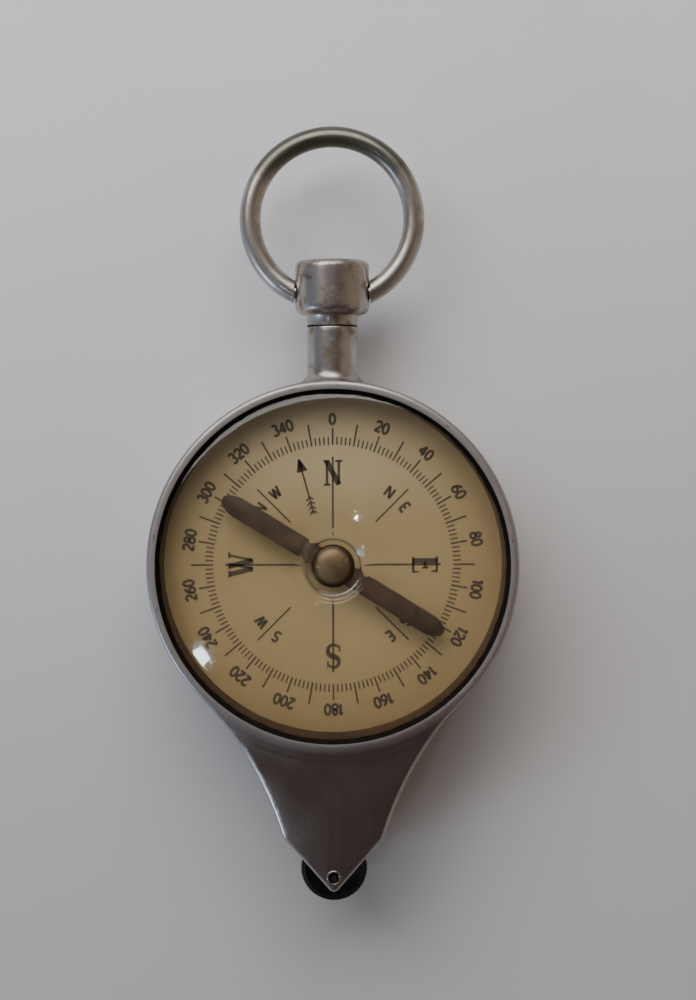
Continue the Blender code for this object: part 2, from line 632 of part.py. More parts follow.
def make_crystals(parent):
    """Flat rear crystal and domed front crystal with the dimple over the needle's cap."""
    low = REAR_CRYSTAL_Z
    high = low + REAR_CRYSTAL_THICK
    radius = NECK_RADIUS - FIT_GAP
    profile = [(0.0, low), (radius - REAR_CRYSTAL_EDGE, low), (radius, low + REAR_CRYSTAL_EDGE),
               (radius, high), (0.0, high)]
    new_mesh_object("rear_crystal", lathe(profile, CASE_FACETS), "crystal", parent)

    radius = RIM_BORE_RADIUS - FIT_GAP
    ball = (radius ** 2 + CRYSTAL_DOME ** 2) / (2.0 * CRYSTAL_DOME)
    edge_z = CRYSTAL_SEAT_Z

    def dome(at_radius):
        return edge_z + CRYSTAL_DOME - (ball - math.sqrt(ball ** 2 - at_radius ** 2))

    dimple_z = NEEDLE_CAP_Z + CAP_HEIGHT + CAP_TO_DIMPLE
    floor_radius = DIMPLE_RADIUS - DIMPLE_WALL
    spread = [DIMPLE_RADIUS + (radius - DIMPLE_RADIUS) * share for share in (0.0, 0.5, 1.0)]
    inner = [(0.0, dimple_z), (floor_radius, dimple_z)] + [(r, dome(r)) for r in spread]
    outer = [(r, z + CRYSTAL_THICK) for r, z in reversed(inner)]
    new_mesh_object("compass_crystal", lathe(inner + outer, CASE_FACETS), "crystal", parent)


# ---------------------------------------------------------------- compass
def make_compass(parent):
    """Conical ring, dial on its plate, and the pivot."""
    outer = BORE_RADIUS - FIT_GAP
    top_bore = RIM_BORE_RADIUS - REHAUT_SHOW
    low_bore = top_bore - REHAUT_SLOPE
    top = REHAUT_Z + REHAUT_HEIGHT
    profile = [(outer, REHAUT_Z), (outer, top), (top_bore, top), (low_bore, REHAUT_Z)]
    new_mesh_object("rehaut_ring", lathe(profile, CASE_FACETS), "dark_brass", parent)

    card_bore = PIVOT_BASE_RADIUS + FIT_GAP
    card = [(outer, DIAL_CARD_Z), (outer, DIAL_CARD_Z + DIAL_CARD_THICK),
            (card_bore, DIAL_CARD_Z + DIAL_CARD_THICK), (card_bore, DIAL_CARD_Z)]
    new_mesh_object("compass_dial", lathe(card, CASE_FACETS), "ivory_card", parent)

    plate_bore = PIVOT_SPIGOT_RADIUS + FIT_GAP
    plate = [(outer, DIAL_PLATE_Z), (outer, DIAL_PLATE_Z + DIAL_PLATE_THICK),
             (plate_bore, DIAL_PLATE_Z + DIAL_PLATE_THICK), (plate_bore, DIAL_PLATE_Z)]
    new_mesh_object("compass_dial_plate", lathe(plate, CASE_FACETS), "brass", parent)

    base_z = DIAL_PLATE_Z + DIAL_PLATE_THICK + SEAT_GAP
    base_top = DIAL_CARD_Z + DIAL_CARD_THICK + PIVOT_BASE_STAND
    tip_z = NEEDLE_CAP_Z + CAP_HEIGHT * CAP_HOLLOW_SHARE
    pin = [(0.0, DIAL_PLATE_Z), (PIVOT_SPIGOT_RADIUS, DIAL_PLATE_Z), (PIVOT_SPIGOT_RADIUS, base_z),
           (PIVOT_BASE_RADIUS, base_z), (PIVOT_BASE_RADIUS, base_top),
           (PIVOT_PIN_RADIUS, base_top + PIVOT_BASE_SLOPE),
           (PIVOT_PIN_RADIUS, NEEDLE_Z - CAP_SPIGOT_DEPTH), (0.0, tip_z)]
    new_mesh_object("compass_pivot", lathe(pin, SMALL_FACETS), "steel", parent)


def make_needle(parent):
    """Flat magnetic needle and the brass cap that rides on the pivot."""
    half = NEEDLE_LENGTH / 2.0
    side = NEEDLE_WIDTH / 2.0
    shoulder = half - NEEDLE_TAPER
    end = side * NEEDLE_END_SHARE
    outline = [(side, -shoulder), (side, shoulder), (end, half), (-end, half),
               (-side, shoulder), (-side, -shoulder), (-end, -half), (end, -half)]
    bore = circle(CAP_SPIGOT_RADIUS + FIT_GAP, SMALL_FACETS)
    place = (0.0, 0.0, NEEDLE_Z)
    turn = (0.0, 0.0, -NEEDLE_BEARING)
    new_mesh_object("compass_needle", stack([(outline, 0.0, NEEDLE_THICK)], [bore]),
                    "bronzed_steel", parent, place, turn)
    dome_z = NEEDLE_THICK + SEAT_GAP
    foot = -CAP_SPIGOT_DEPTH
    cone_top = dome_z + CAP_HEIGHT * CAP_HOLLOW_SHARE + RUN_GAP
    cone_foot = PIVOT_PIN_RADIUS + 2.0 * RUN_GAP
    dome = [(CAP_RADIUS, dome_z), (CAP_RADIUS, dome_z + CAP_SKIRT)]
    for share in (0.35, 0.7):
        angle = math.pi / 2.0 * share
        dome.append((CAP_RADIUS * math.cos(angle),
                     dome_z + CAP_SKIRT + (CAP_HEIGHT - CAP_SKIRT) * math.sin(angle)))
    dome.append((0.0, dome_z + CAP_HEIGHT))
    profile = [(0.0, cone_top), (cone_foot, foot), (CAP_SPIGOT_RADIUS, foot),
               (CAP_SPIGOT_RADIUS, dome_z)] + dome
    new_mesh_object("needle_cap", lathe(profile, ROUND_FACETS), "brass", parent, place, turn)


# ---------------------------------------------------------------- movement
def pillar_places():
    """Axes of the pillars between the plates."""
    angles = [math.radians(angle) for angle in PILLAR_ANGLES]
    return [(PILLAR_CIRCLE * math.cos(a), PILLAR_CIRCLE * math.sin(a)) for a in angles]


def cheek_screw_places():
    """Axes of the two screws that hold the rear cheek to the rear plate."""
    level = WHEEL_Y + CHEEK_SCREW_SPAN
    centre = flank_centre()
    edge = centre[0] - math.sqrt(FLANK_RADIUS ** 2 - (level - centre[1]) ** 2)
    side = edge - CHEEK_SCREW_INSET
    return [(-side, level), (side, level)]


def dial_foot_places():
    """Axes of the two feet under the distance dial."""
    return [(-DIAL_FOOT_CIRCLE, 0.0), (DIAL_FOOT_CIRCLE, 0.0)]


def plate_outline():
    """The inside of the case with a fit all round and a straight end short of the wheel."""
    end = WHEEL_Y + WHEEL_RADIUS + WHEEL_GAP + PLATE_END_MARGIN
    return cut_below(inset(pear_outline(), PLATE_INSET), end)


def running_hole(radius, place):
    """A faceted hole in which a shaft turns."""
    return circle(hole_radius(radius, RUN_GAP, SMALL_FACETS), SMALL_FACETS, place)


def fitted_hole(radius, place):
    """A faceted hole that locates a round piece."""
    return circle(hole_radius(radius, FIT_GAP, SMALL_FACETS), SMALL_FACETS, place)


def make_plates(parent):
    """Main plate, rear plate, pillars and every screw of the movement."""
    outline = plate_outline()
    first = (0.0, FIRST_Y)
    post = (0.0, WHEEL_Y + POST_SPAN)
    pivots = [running_hole(PIVOT_RADIUS, place) for place in (first, second_place(), (0.0, 0.0))]
    spigots = [fitted_hole(PILLAR_SPIGOT_RADIUS, place) for place in pillar_places()]
    main_holes = pivots + spigots + [fitted_hole(SCREW_SHANK_RADIUS, post)]
    main_top = MAIN_PLATE_Z + MAIN_PLATE_THICK
    new_mesh_object("main_plate", stack([(outline, MAIN_PLATE_Z, main_top)], main_holes),
                    "brass", parent)

    rear_holes = [running_hole(PIVOT_RADIUS, place) for place in (first, second_place())]
    rear_holes.append(running_hole(CENTRE_STEM_RADIUS, (0.0, 0.0)))
    rear_holes += [fitted_hole(DIAL_FOOT_RADIUS, place) for place in dial_foot_places()]
    rear_holes += [fitted_hole(SCREW_SHANK_RADIUS, place) for place in cheek_screw_places()]
    rear_holes += [fitted_hole(SCREW_SHANK_RADIUS, place) for place in pillar_places()]
    rear_plate = new_mesh_object(
        "rear_plate", stack([(outline, REAR_PLATE_Z, GEAR_FLOOR_Z)], rear_holes), "brass", parent)
    sink = SCREW_HEAD_THICK + SEAT_GAP
    head = hole_radius(SCREW_HEAD_RADIUS, FIT_GAP, SMALL_FACETS)
    for place in pillar_places():
        combine(rear_plate, stack([(circle(head, SMALL_FACETS, place), REAR_PLATE_Z - SHEET,
                                    REAR_PLATE_Z + sink)]), "DIFFERENCE")

    bore = hole_radius(SCREW_SHANK_RADIUS, FIT_GAP, SMALL_FACETS)
    low = GEAR_FLOOR_Z + SEAT_GAP
    high = MAIN_PLATE_Z - SEAT_GAP
    bore_top = low + PLATE_SCREW_LENGTH
    profile = [(0.0, bore_top), (bore * 0.5, bore_top), (bore, bore_top - bore * 0.5), (bore, low),
               (PILLAR_RADIUS, low), (PILLAR_RADIUS, high), (PILLAR_SPIGOT_RADIUS, high),
               (PILLAR_SPIGOT_RADIUS, main_top), (0.0, main_top)]
    for number, place in enumerate(pillar_places(), 1):
        new_mesh_object(f"pillar_{number}", lathe(profile, SMALL_FACETS), "brass", parent,
                        (*place, 0.0))
        make_screw(f"plate_screw_{number}", parent, (*place, REAR_PLATE_Z + SEAT_GAP),
                   SCREW_HEAD_RADIUS, PLATE_SCREW_LENGTH)


def make_screw(name, parent, place, head_radius, length):
    """A slotted screw; its shank points along +Z, with the outer face of the head at the place."""
    profile = [(0.0, 0.0), (head_radius, 0.0), (head_radius, SCREW_HEAD_THICK - SEAT_GAP),
               (SCREW_SHANK_RADIUS, SCREW_HEAD_THICK - SEAT_GAP),
               (SCREW_SHANK_RADIUS, length - SCREW_TIP),
               (SCREW_SHANK_RADIUS * SCREW_TIP_SHARE, length), (0.0, length)]
    turn = (0.0, 0.0, SCREW_TURN)
    screw = new_mesh_object(name, lathe(profile, SMALL_FACETS), "steel", parent, place, turn)
    slot = box((-2.0 * head_radius, -SCREW_SLOT / 2.0, -SCREW_HEAD_THICK),
               (2.0 * head_radius, SCREW_SLOT / 2.0, SCREW_HEAD_THICK * SCREW_SLOT_DEPTH_SHARE))
    combine(screw, slot, "DIFFERENCE", place, turn)


def make_case_fasteners(parent):
    """Post in the horn with its screw, and the two screws of the rear cheek."""
    low = MAIN_PLATE_Z + MAIN_PLATE_THICK + SEAT_GAP
    high = FRONT_CHEEK_Z - SHEET - SEAT_GAP
    bore = hole_radius(SCREW_SHANK_RADIUS, FIT_GAP, SMALL_FACETS)
    bore_top = MAIN_PLATE_Z - SCREW_HEAD_THICK + POST_SCREW_LENGTH + 2.0 * SEAT_GAP
    profile = [(0.0, bore_top), (bore, bore_top), (bore, low), (POST_RADIUS, low),
               (POST_RADIUS, high), (0.0, high)]
    place = (0.0, WHEEL_Y + POST_SPAN)
    new_mesh_object("horn_post", lathe(profile, SMALL_FACETS), "brass", parent, (*place, 0.0))
    make_screw("post_screw", parent, (*place, MAIN_PLATE_Z - SCREW_HEAD_THICK), SCREW_HEAD_RADIUS,
               POST_SCREW_LENGTH)
    for number, place in enumerate(cheek_screw_places(), 1):
        length = SCREW_HEAD_THICK + SHEET + REAR_PLATE_THICK
        make_screw(f"cheek_screw_{number}", parent, (*place, REAR_CHEEK_Z - SCREW_HEAD_THICK),
                   CHEEK_SCREW_RADIUS, length)


# ---------------------------------------------------------------- gear train
def make_gear(name, parent, axis, z, teeth, module, tooth_angle, bore_radius, windows=()):
    """A brass gear pressed on an arbor."""
    bore = circle(hole_radius(bore_radius, SEAT_GAP, SMALL_FACETS), SMALL_FACETS)
    outline = gear_outline(teeth, module, tooth_angle, 1)
    new_mesh_object(name, stack([(outline, z, z + GEAR_THICK)], [bore, *windows]), "brass",
                    parent, (*axis, 0.0))


def make_train(parent):
    """Three gears on their arbors, from the first arbor to the centre."""
    second = second_place()
    first = (0.0, FIRST_Y)
    centre = (0.0, 0.0)
    wheel = (0.0, WHEEL_Y)
    shoulder_low = GEAR_FLOOR_Z + END_SHAKE
    shoulder_high = MAIN_PLATE_Z - END_SHAKE
    pivot_low = REAR_PLATE_Z + SEAT_GAP
    pivot_high = MAIN_PLATE_Z + MAIN_PLATE_THICK - SEAT_GAP
    low_z = GEAR_FLOOR_Z + LOW_GEAR_LIFT
    high_z = GEAR_FLOOR_Z + HIGH_GEAR_LIFT
    over = (PINION_THICK - GEAR_THICK) / 2.0
    arbor = circle(ARBOR_RADIUS, SMALL_FACETS)
    pivot = circle(PIVOT_RADIUS, SMALL_FACETS)

    make_gear("first_gear", parent, first, low_z, FIRST_GEAR_TEETH, WHEEL_MODULE,
              direction(first, wheel), ARBOR_RADIUS)
    leaves = gear_outline(FIRST_PINION_TEETH, TRAIN_MODULE,
                          gap_towards(direction(first, second), FIRST_PINION_TEETH), 2)
    sections = [(pivot, pivot_low, shoulder_low), (arbor, shoulder_low, high_z - over),
                (leaves, high_z - over, high_z + GEAR_THICK + over),
                (arbor, high_z + GEAR_THICK + over, shoulder_high),
                (pivot, shoulder_high, pivot_high)]
    new_mesh_object("first_arbor", stack(sections), "steel", parent, (*first, 0.0))

    make_gear("second_gear", parent, second, high_z, SECOND_GEAR_TEETH, TRAIN_MODULE,
              direction(second, first), ARBOR_RADIUS)
    leaves = gear_outline(SECOND_PINION_TEETH, TRAIN_MODULE,
                          gap_towards(direction(second, centre), SECOND_PINION_TEETH), 2)
    sections = [(pivot, pivot_low, shoulder_low), (arbor, shoulder_low, low_z - over),
                (leaves, low_z - over, low_z + GEAR_THICK + over),
                (arbor, low_z + GEAR_THICK + over, shoulder_high),
                (pivot, shoulder_high, pivot_high)]
    new_mesh_object("second_arbor", stack(sections), "steel", parent, (*second, 0.0))

    window_circle = (TRAIN_MODULE * CENTRE_GEAR_TEETH / 2.0 + ARBOR_RADIUS) / 2.0 + GEAR_HOLE_SHIFT
    windows = []
    for number in range(GEAR_HOLES):
        angle = TAU * number / GEAR_HOLES
        place = (window_circle * math.cos(angle), window_circle * math.sin(angle))
        windows.append(circle(GEAR_HOLE_RADIUS, SMALL_FACETS, place))
    make_gear("centre_gear", parent, centre, low_z, CENTRE_GEAR_TEETH, TRAIN_MODULE,
              direction(centre, second), ARBOR_RADIUS, windows)
    stem_low = POINTER_Z - COLLET_THICK - 2.0 * SEAT_GAP
    profile = [(0.0, stem_low), (CENTRE_STEM_RADIUS, stem_low), (CENTRE_STEM_RADIUS, shoulder_low),
               (ARBOR_RADIUS, shoulder_low), (ARBOR_RADIUS, shoulder_high),
               (PIVOT_RADIUS, shoulder_high), (PIVOT_RADIUS, pivot_high), (0.0, pivot_high)]
    new_mesh_object("centre_arbor", lathe(profile, SMALL_FACETS), "steel", parent)


def make_tracing_wheel(parent):
    """Toothed wheel at the point of the horn, its arbor and the two bushes."""
    place = (0.0, WHEEL_Y, 0.0)
    tooth_step = TAU / WHEEL_TEETH
    teeth = []
    for number in range(WHEEL_TEETH):
        tip_angle = -math.pi / 2.0 + number * tooth_step
        root_angle = tip_angle + tooth_step / 2.0
        root = WHEEL_RADIUS - WHEEL_TOOTH_DEPTH
        teeth.append((WHEEL_RADIUS * math.cos(tip_angle), WHEEL_RADIUS * math.sin(tip_angle)))
        teeth.append((root * math.cos(root_angle), root * math.sin(root_angle)))
    web = circle(WHEEL_RADIUS - WHEEL_WEB_MARGIN, ROUND_FACETS)
    hub = circle(WHEEL_HUB_RADIUS, ROUND_FACETS)
    bore = circle(hole_radius(WHEEL_ARBOR_RADIUS, SEAT_GAP, SMALL_FACETS), SMALL_FACETS)
    half_rim = WHEEL_RIM_THICK / 2.0
    half_web = WHEEL_WEB_THICK / 2.0
    half_hub = WHEEL_HUB_LENGTH / 2.0
    sections = [(hub, SEAM_Z - half_hub, SEAM_Z - half_web),
                (web, SEAM_Z - half_web, SEAM_Z - half_rim),
                (teeth, SEAM_Z - half_rim, SEAM_Z + half_rim),
                (web, SEAM_Z + half_rim, SEAM_Z + half_web),
                (hub, SEAM_Z + half_web, SEAM_Z + half_hub)]
    new_mesh_object("tracing_wheel", stack(sections, [bore]), "dark_steel", parent, place)

    rear_inner = REAR_CHEEK_Z + SHEET
    front_inner = FRONT_CHEEK_Z - SHEET
    shoulder_low = GEAR_FLOOR_Z + END_SHAKE
    shoulder_high = SEAM_Z + half_hub
    low_z = GEAR_FLOOR_Z + LOW_GEAR_LIFT
    over = (PINION_THICK - GEAR_THICK) / 2.0
    pivot = circle(WHEEL_PIVOT_RADIUS, SMALL_FACETS)
    body = circle(WHEEL_ARBOR_RADIUS, SMALL_FACETS)
    leaves = gear_outline(WHEEL_PINION_TEETH, WHEEL_MODULE,
                          gap_towards(math.pi / 2.0, WHEEL_PINION_TEETH), 2)
    sections = [(pivot, REAR_CHEEK_Z + WHEEL_PIVOT_RECESS, shoulder_low),
                (body, shoulder_low, low_z - over),
                (leaves, low_z - over, low_z + GEAR_THICK + over),
                (body, low_z + GEAR_THICK + over, shoulder_high),
                (pivot, shoulder_high, FRONT_CHEEK_Z - WHEEL_PIVOT_RECESS)]
    new_mesh_object("wheel_arbor", stack(sections), "steel", parent, place)

    bush = circle(BUSH_RADIUS, ROUND_FACETS)
    bush_bore = running_hole(WHEEL_PIVOT_RADIUS, (0.0, 0.0))
    front_low = shoulder_high + END_SHAKE
    new_mesh_object("front_bush", stack([(bush, front_low, front_inner - SEAT_GAP)], [bush_bore]),
                    "brass", parent, place)
    new_mesh_object("rear_bush", stack([(bush, rear_inner + SEAT_GAP, GEAR_FLOOR_Z)], [bush_bore]),
                    "brass", parent, place)


def make_distance_side(parent):
    """Distance dial on its two feet, the pointer and the collet that holds it."""
    radius = NECK_BORE_RADIUS - FIT_GAP
    bore = hole_radius(CENTRE_STEM_RADIUS, RUN_GAP, ROUND_FACETS)
    top = DISTANCE_DIAL_Z + DISTANCE_DIAL_THICK
    profile = [(radius, DISTANCE_DIAL_Z), (radius, top), (bore, top), (bore, DISTANCE_DIAL_Z)]
    dial = new_mesh_object("distance_dial", lathe(profile, CASE_FACETS), "silvered_dial", parent)
    for place in dial_foot_places():
        foot = circle(DIAL_FOOT_RADIUS, SMALL_FACETS, place)
        combine(dial, stack([(foot, DISTANCE_DIAL_Z + DISTANCE_DIAL_THICK / 2.0,
                              GEAR_FLOOR_Z)]), "UNION")

    eye = POINTER_EYE_RADIUS
    spread = POINTER_EYE_OPENING
    tail = eye * math.sin(spread) * POINTER_TAIL_SPREAD
    outline = arc((0.0, 0.0), eye, math.pi / 2.0 + spread, 1.5 * math.pi - spread, 5)
    outline += [(-tail, -POINTER_TAIL), (tail, -POINTER_TAIL)]
    outline += arc((0.0, 0.0), eye, -math.pi / 2.0 + spread, math.pi / 2.0 - spread, 5)
    outline += [(0.0, POINTER_REACH)]
    hole = circle(hole_radius(CENTRE_STEM_RADIUS, SEAT_GAP, SMALL_FACETS), SMALL_FACETS)
    new_mesh_object("distance_pointer",
                    stack([(outline, POINTER_Z, POINTER_Z + POINTER_THICK)], [hole]),
                    "blued_steel", parent)
    collet = circle(COLLET_RADIUS, ROUND_FACETS)
    low = POINTER_Z - SEAT_GAP - COLLET_THICK
    new_mesh_object("pointer_collet", stack([(collet, low, POINTER_Z - SEAT_GAP)], [hole]),
                    "brass", parent)


# ---------------------------------------------------------------- pendant, cap and ring
def make_pendant(parent):
    """Tube soldered in the case and the swivelling cap with its washer; local Z runs along +Y."""
    along_y = (-math.pi / 2.0, 0.0, 0.0)
    place = (0.0, 0.0, SEAM_Z)
    inner_end = CASE_RADIUS - SHEET + FIT_GAP
    counterbore_end = inner_end + STEM_COUNTERBORE_DEPTH
    flare = arc((STEM_RADIUS + STEM_FLARE, CASE_RADIUS + STEM_FLARE), STEM_FLARE,
                -math.pi / 2.0, -math.pi, 4)
    foot_y = CASE_RADIUS - SHEET
    tube = [(STEM_RADIUS + STEM_FLARE, foot_y)] + flare
    tube += [(STEM_RADIUS, STEM_TOP_Y), (STEM_BORE_RADIUS, STEM_TOP_Y),
             (STEM_BORE_RADIUS, counterbore_end), (STEM_COUNTERBORE_RADIUS, counterbore_end),
             (STEM_COUNTERBORE_RADIUS, foot_y)]
    stem = new_mesh_object("pendant_tube", lathe(tube, ROUND_FACETS), "worn_nickel", parent,
                           place, along_y)
    case_cut = circle(CASE_RADIUS + SEAT_GAP, 2 * CASE_FACETS)
    combine(stem, stack([(case_cut, SEAM_Z - CASE_RADIUS, SEAM_Z + CASE_RADIUS)]), "DIFFERENCE")
    spigot_end = CASE_RADIUS + STEM_SPIGOT_OVERLAP
    spigot = [(STEM_SPIGOT_RADIUS, inner_end), (STEM_SPIGOT_RADIUS, spigot_end),
              (STEM_COUNTERBORE_RADIUS, spigot_end),
              (STEM_COUNTERBORE_RADIUS, inner_end)]
    combine(stem, lathe(spigot, ROUND_FACETS), "UNION", place, along_y)

    neck_low = STEM_TOP_Y + END_SHAKE
    cap_top = CAP_UNDER_Y + BOW_CAP_HEIGHT
    edge = BOW_CAP_RADIUS - BOW_CAP_ROUND
    lower = arc((edge, CAP_UNDER_Y + BOW_CAP_ROUND), BOW_CAP_ROUND, -math.pi / 2.0, 0.0, 3)
    upper = arc((edge, cap_top - BOW_CAP_ROUND), BOW_CAP_ROUND, 0.0, math.pi / 2.0, 3)
    washer_high = counterbore_end - END_SHAKE
    washer_low = washer_high - WASHER_THICK
    shank = STEM_BORE_RADIUS - RUN_GAP
    profile = [(0.0, washer_low), (RIVET_RADIUS, washer_low), (RIVET_RADIUS, washer_high),
               (shank, washer_high), (shank, neck_low), (STEM_RADIUS, neck_low),
               (STEM_RADIUS, CAP_UNDER_Y)] + lower + upper + [(0.0, cap_top)]
    cap = new_mesh_object("bow_cap", lathe(profile, ROUND_FACETS), "worn_nickel", parent,
                          place, along_y)
    pin_hole = circle(hole_radius(BOW_PIN_RADIUS, RUN_GAP, SMALL_FACETS), SMALL_FACETS)
    pin_end = BOW_END_X - BOW_PIN_DEPTH - RUN_GAP
    for side in (-1.0, 1.0):
        turn = (0.0, side * math.pi / 2.0, 0.0)
        combine(cap, stack([(pin_hole, pin_end, 2.0 * BOW_CAP_RADIUS)]), "DIFFERENCE",
                (0.0, BOW_PIVOT_Y, SEAM_Z), turn)
    washer_bore = hole_radius(RIVET_RADIUS, SEAT_GAP, SMALL_FACETS)
    washer = [(washer_bore, washer_low), (STEM_COUNTERBORE_RADIUS - 2.0 * RUN_GAP, washer_low),
              (STEM_COUNTERBORE_RADIUS - 2.0 * RUN_GAP, washer_high - SEAT_GAP),
              (washer_bore, washer_high - SEAT_GAP)]
    new_mesh_object("swivel_washer", lathe(washer, SMALL_FACETS), "brass", parent, place, along_y)


def make_bow_ring(parent):
    """Open wire ring whose ends are cut square to the pins that enter the cap."""
    sides = SMALL_FACETS
    steps = 30
    rise = BOW_CENTRE_Y - BOW_PIVOT_Y
    end_angle = math.atan2(-rise, BOW_END_X)
    sweep = math.pi - 2.0 * end_angle
    bm = bmesh.new()
    loops = []
    for step in range(steps + 1):
        angle = end_angle + sweep * step / steps
        spoke = Vector((math.cos(angle), math.sin(angle), 0.0))
        along = Vector((-math.sin(angle), math.cos(angle), 0.0))
        centre = Vector((0.0, rise, 0.0)) + spoke * BOW_RING_RADIUS
        ring = []
        for index in range(sides):
            turn = TAU * index / sides
            offset = spoke * math.cos(turn) + Vector((0.0, 0.0, math.sin(turn)))
            point = centre + offset * BOW_WIRE_RADIUS
            if step in (0, steps):
                wall_x = BOW_END_X if step == 0 else -BOW_END_X
                point += along * (wall_x - point.x) / along.x
            ring.append(bm.verts.new(point))
        loops.append(ring)
    for lower, upper in zip(loops, loops[1:]):
        add_wall(bm, lower, upper)
    for ring, side in ((loops[0], 1.0), (loops[-1], -1.0)):
        collar = []
        tip = []
        for index in range(sides):
            turn = TAU * index / sides
            y = side * BOW_PIN_RADIUS * math.cos(turn + (math.pi if side > 0.0 else 0.0))
            z = BOW_PIN_RADIUS * math.sin(turn)
            collar.append(bm.verts.new((side * BOW_END_X, y, z)))
            tip.append(bm.verts.new((side * (BOW_END_X - BOW_PIN_DEPTH), y, z)))
        add_wall(bm, ring, collar)
        add_wall(bm, collar, tip)
        bm.faces.new(tip)
    new_mesh_object("bow_ring", bm, "worn_nickel", parent, (0.0, BOW_PIVOT_Y, SEAM_Z))


# ---------------------------------------------------------------- the instrument
def clear_scene():
    """Start from an empty scene."""
    for old in list(bpy.data.objects):
        bpy.data.objects.remove(old, do_unlink=True)


def build():
    """Make every sub-part under one empty."""
    clear_scene()
    instrument = bpy.data.objects.new("instrument", None)
    instrument.location = (0.0, -(TOP_Y + BOTTOM_Y) / 2.0, 0.0)
    bpy.context.collection.objects.link(instrument)
    make_front_shell(instrument)
    make_rear_shell(instrument)
    make_rear_bezel(instrument)
    make_crystals(instrument)
    make_compass(instrument)
    make_needle(instrument)
    make_plates(instrument)
    make_case_fasteners(instrument)
    make_train(instrument)
    make_tracing_wheel(instrument)
    make_distance_side(instrument)
    make_pendant(instrument)
    make_bow_ring(instrument)
    bpy.context.view_layer.update()


build()
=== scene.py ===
"""Looks of a nickel-plated pocket map measurer with a compass in its front.

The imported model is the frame: it gives every place and every moving body. This script adds the
pressed case, the domed crystal, the printed card, the needle, the cap with its ring and the
distance side in the back as finely shaped pieces, and gives every surface its finish.

Pieces are drawn in millimetres round the middle of the compass card and put in place from the
frame. +X is right, +Y points to the hanging ring and +Z out of the compass.
"""
import math

import bmesh
import bpy
from mathutils import Matrix, Vector


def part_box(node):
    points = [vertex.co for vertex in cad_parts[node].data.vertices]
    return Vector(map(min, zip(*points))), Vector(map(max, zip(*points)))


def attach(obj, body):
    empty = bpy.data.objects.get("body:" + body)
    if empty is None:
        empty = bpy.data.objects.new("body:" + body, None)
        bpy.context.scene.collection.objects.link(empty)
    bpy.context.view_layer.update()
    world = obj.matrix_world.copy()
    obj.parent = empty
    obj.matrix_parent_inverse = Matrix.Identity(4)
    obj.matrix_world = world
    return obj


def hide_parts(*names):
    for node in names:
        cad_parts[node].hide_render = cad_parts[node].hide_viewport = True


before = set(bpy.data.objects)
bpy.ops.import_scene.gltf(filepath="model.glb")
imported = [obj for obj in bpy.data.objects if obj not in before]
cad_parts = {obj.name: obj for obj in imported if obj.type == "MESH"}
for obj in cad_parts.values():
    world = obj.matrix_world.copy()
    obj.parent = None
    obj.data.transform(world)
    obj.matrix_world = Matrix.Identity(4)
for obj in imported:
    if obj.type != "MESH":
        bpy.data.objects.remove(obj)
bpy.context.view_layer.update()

MM = 0.001
TAU = 2.0 * math.pi
CARD_LOW, CARD_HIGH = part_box("compass_dial")
CENTRE_Y = (CARD_LOW[1] + CARD_HIGH[1]) / 2.0 / MM

# ---------------------------------------------------------------- sizes, in millimetres
CASE_RADIUS = 16.4
RIM_STAND = 0.1
RIM_TOP = 11.2
RIM_EDGE = 16.0             # where the rounded outside of the bead starts
CRYSTAL_SEAT = 10.0
BORE_RADIUS = 15.85
RIM_BORE = 15.63
SHEET = 0.55
SEAM = 6.3
SEAM_HALF_GAP = 0.015
FRONT_CHEEK = 10.9
REAR_CHEEK = 1.7
CHEEK_BEND = 0.4
NECK_RADIUS = 15.6
NECK_BORE = 15.2
NECK_END = 0.96

WHEEL_Y = -27.7
WHEEL_CUT = 3.4             # radius of the opening in the walls for the wheel
PIVOT_HOLE = 0.49           # radius of the holes for the wheel's pivots
REAR_SCREW_X = 5.083
REAR_SCREW_Y = -18.5
NOSE_Y = -29.25
NOSE_ROUND = 0.55
CORNER = (4.5, -24.1)
CORNER_ROUND = 1.6
FLANK_RADIUS = 32.5

CARD_TOP = CARD_HIGH[2] / MM
INK_THICK = 0.012
TICK_INNER = 10.75          # the degree scale: inner ends of the marks
TICK_ENDS = {2: (11.46, 0.13), 10: (12.72, 0.16), 20: (12.22, 0.16)}    # outer end and width
NUMBER_RING = 13.05
NUMBER_HEIGHT = 1.03
LETTER_RING = 8.24
LETTER_HEIGHT = 2.25
DIAL_MARKS = {1: (13.35, 0.07), 5: (12.95, 0.1), 10: (12.55, 0.14)}     # inner end and width
DIAL_OUTER = 14.1
DIAL_FACE = 1.97
NEEDLE_LOW = 8.94
NEEDLE_THICK = 0.25
NEEDLE_BEARING = math.radians(301.6)
HUB_RADIUS = 1.93

STEM_RADIUS = 2.27
STEM_FOOT = 15.95
STEM_TOP = 21.4
CAP_NECK_LOW = 21.48
CAP_LOW = 22.43
CAP_TOP = 27.33
CAP_RADIUS = 3.35
BOW_PIVOT = 24.53
BOW_CENTRE = 31.064
BOW_RADIUS = 7.38
WIRE_RADIUS = 0.95
BOW_END = 3.43
BOW_PIN_RADIUS = 0.6
BOW_PIN_END = 2.03


# ---------------------------------------------------------------- drawing helpers
def bow(centre, radii, start, end, steps):
    """Points along a piece of an ellipse; the angles are in degrees."""
    points = []
    for step in range(steps + 1):
        angle = math.radians(start + (end - start) * step / steps)
        points.append((centre[0] + radii[0] * math.cos(angle), centre[1] + radii[1] * math.sin(angle)))
    return points


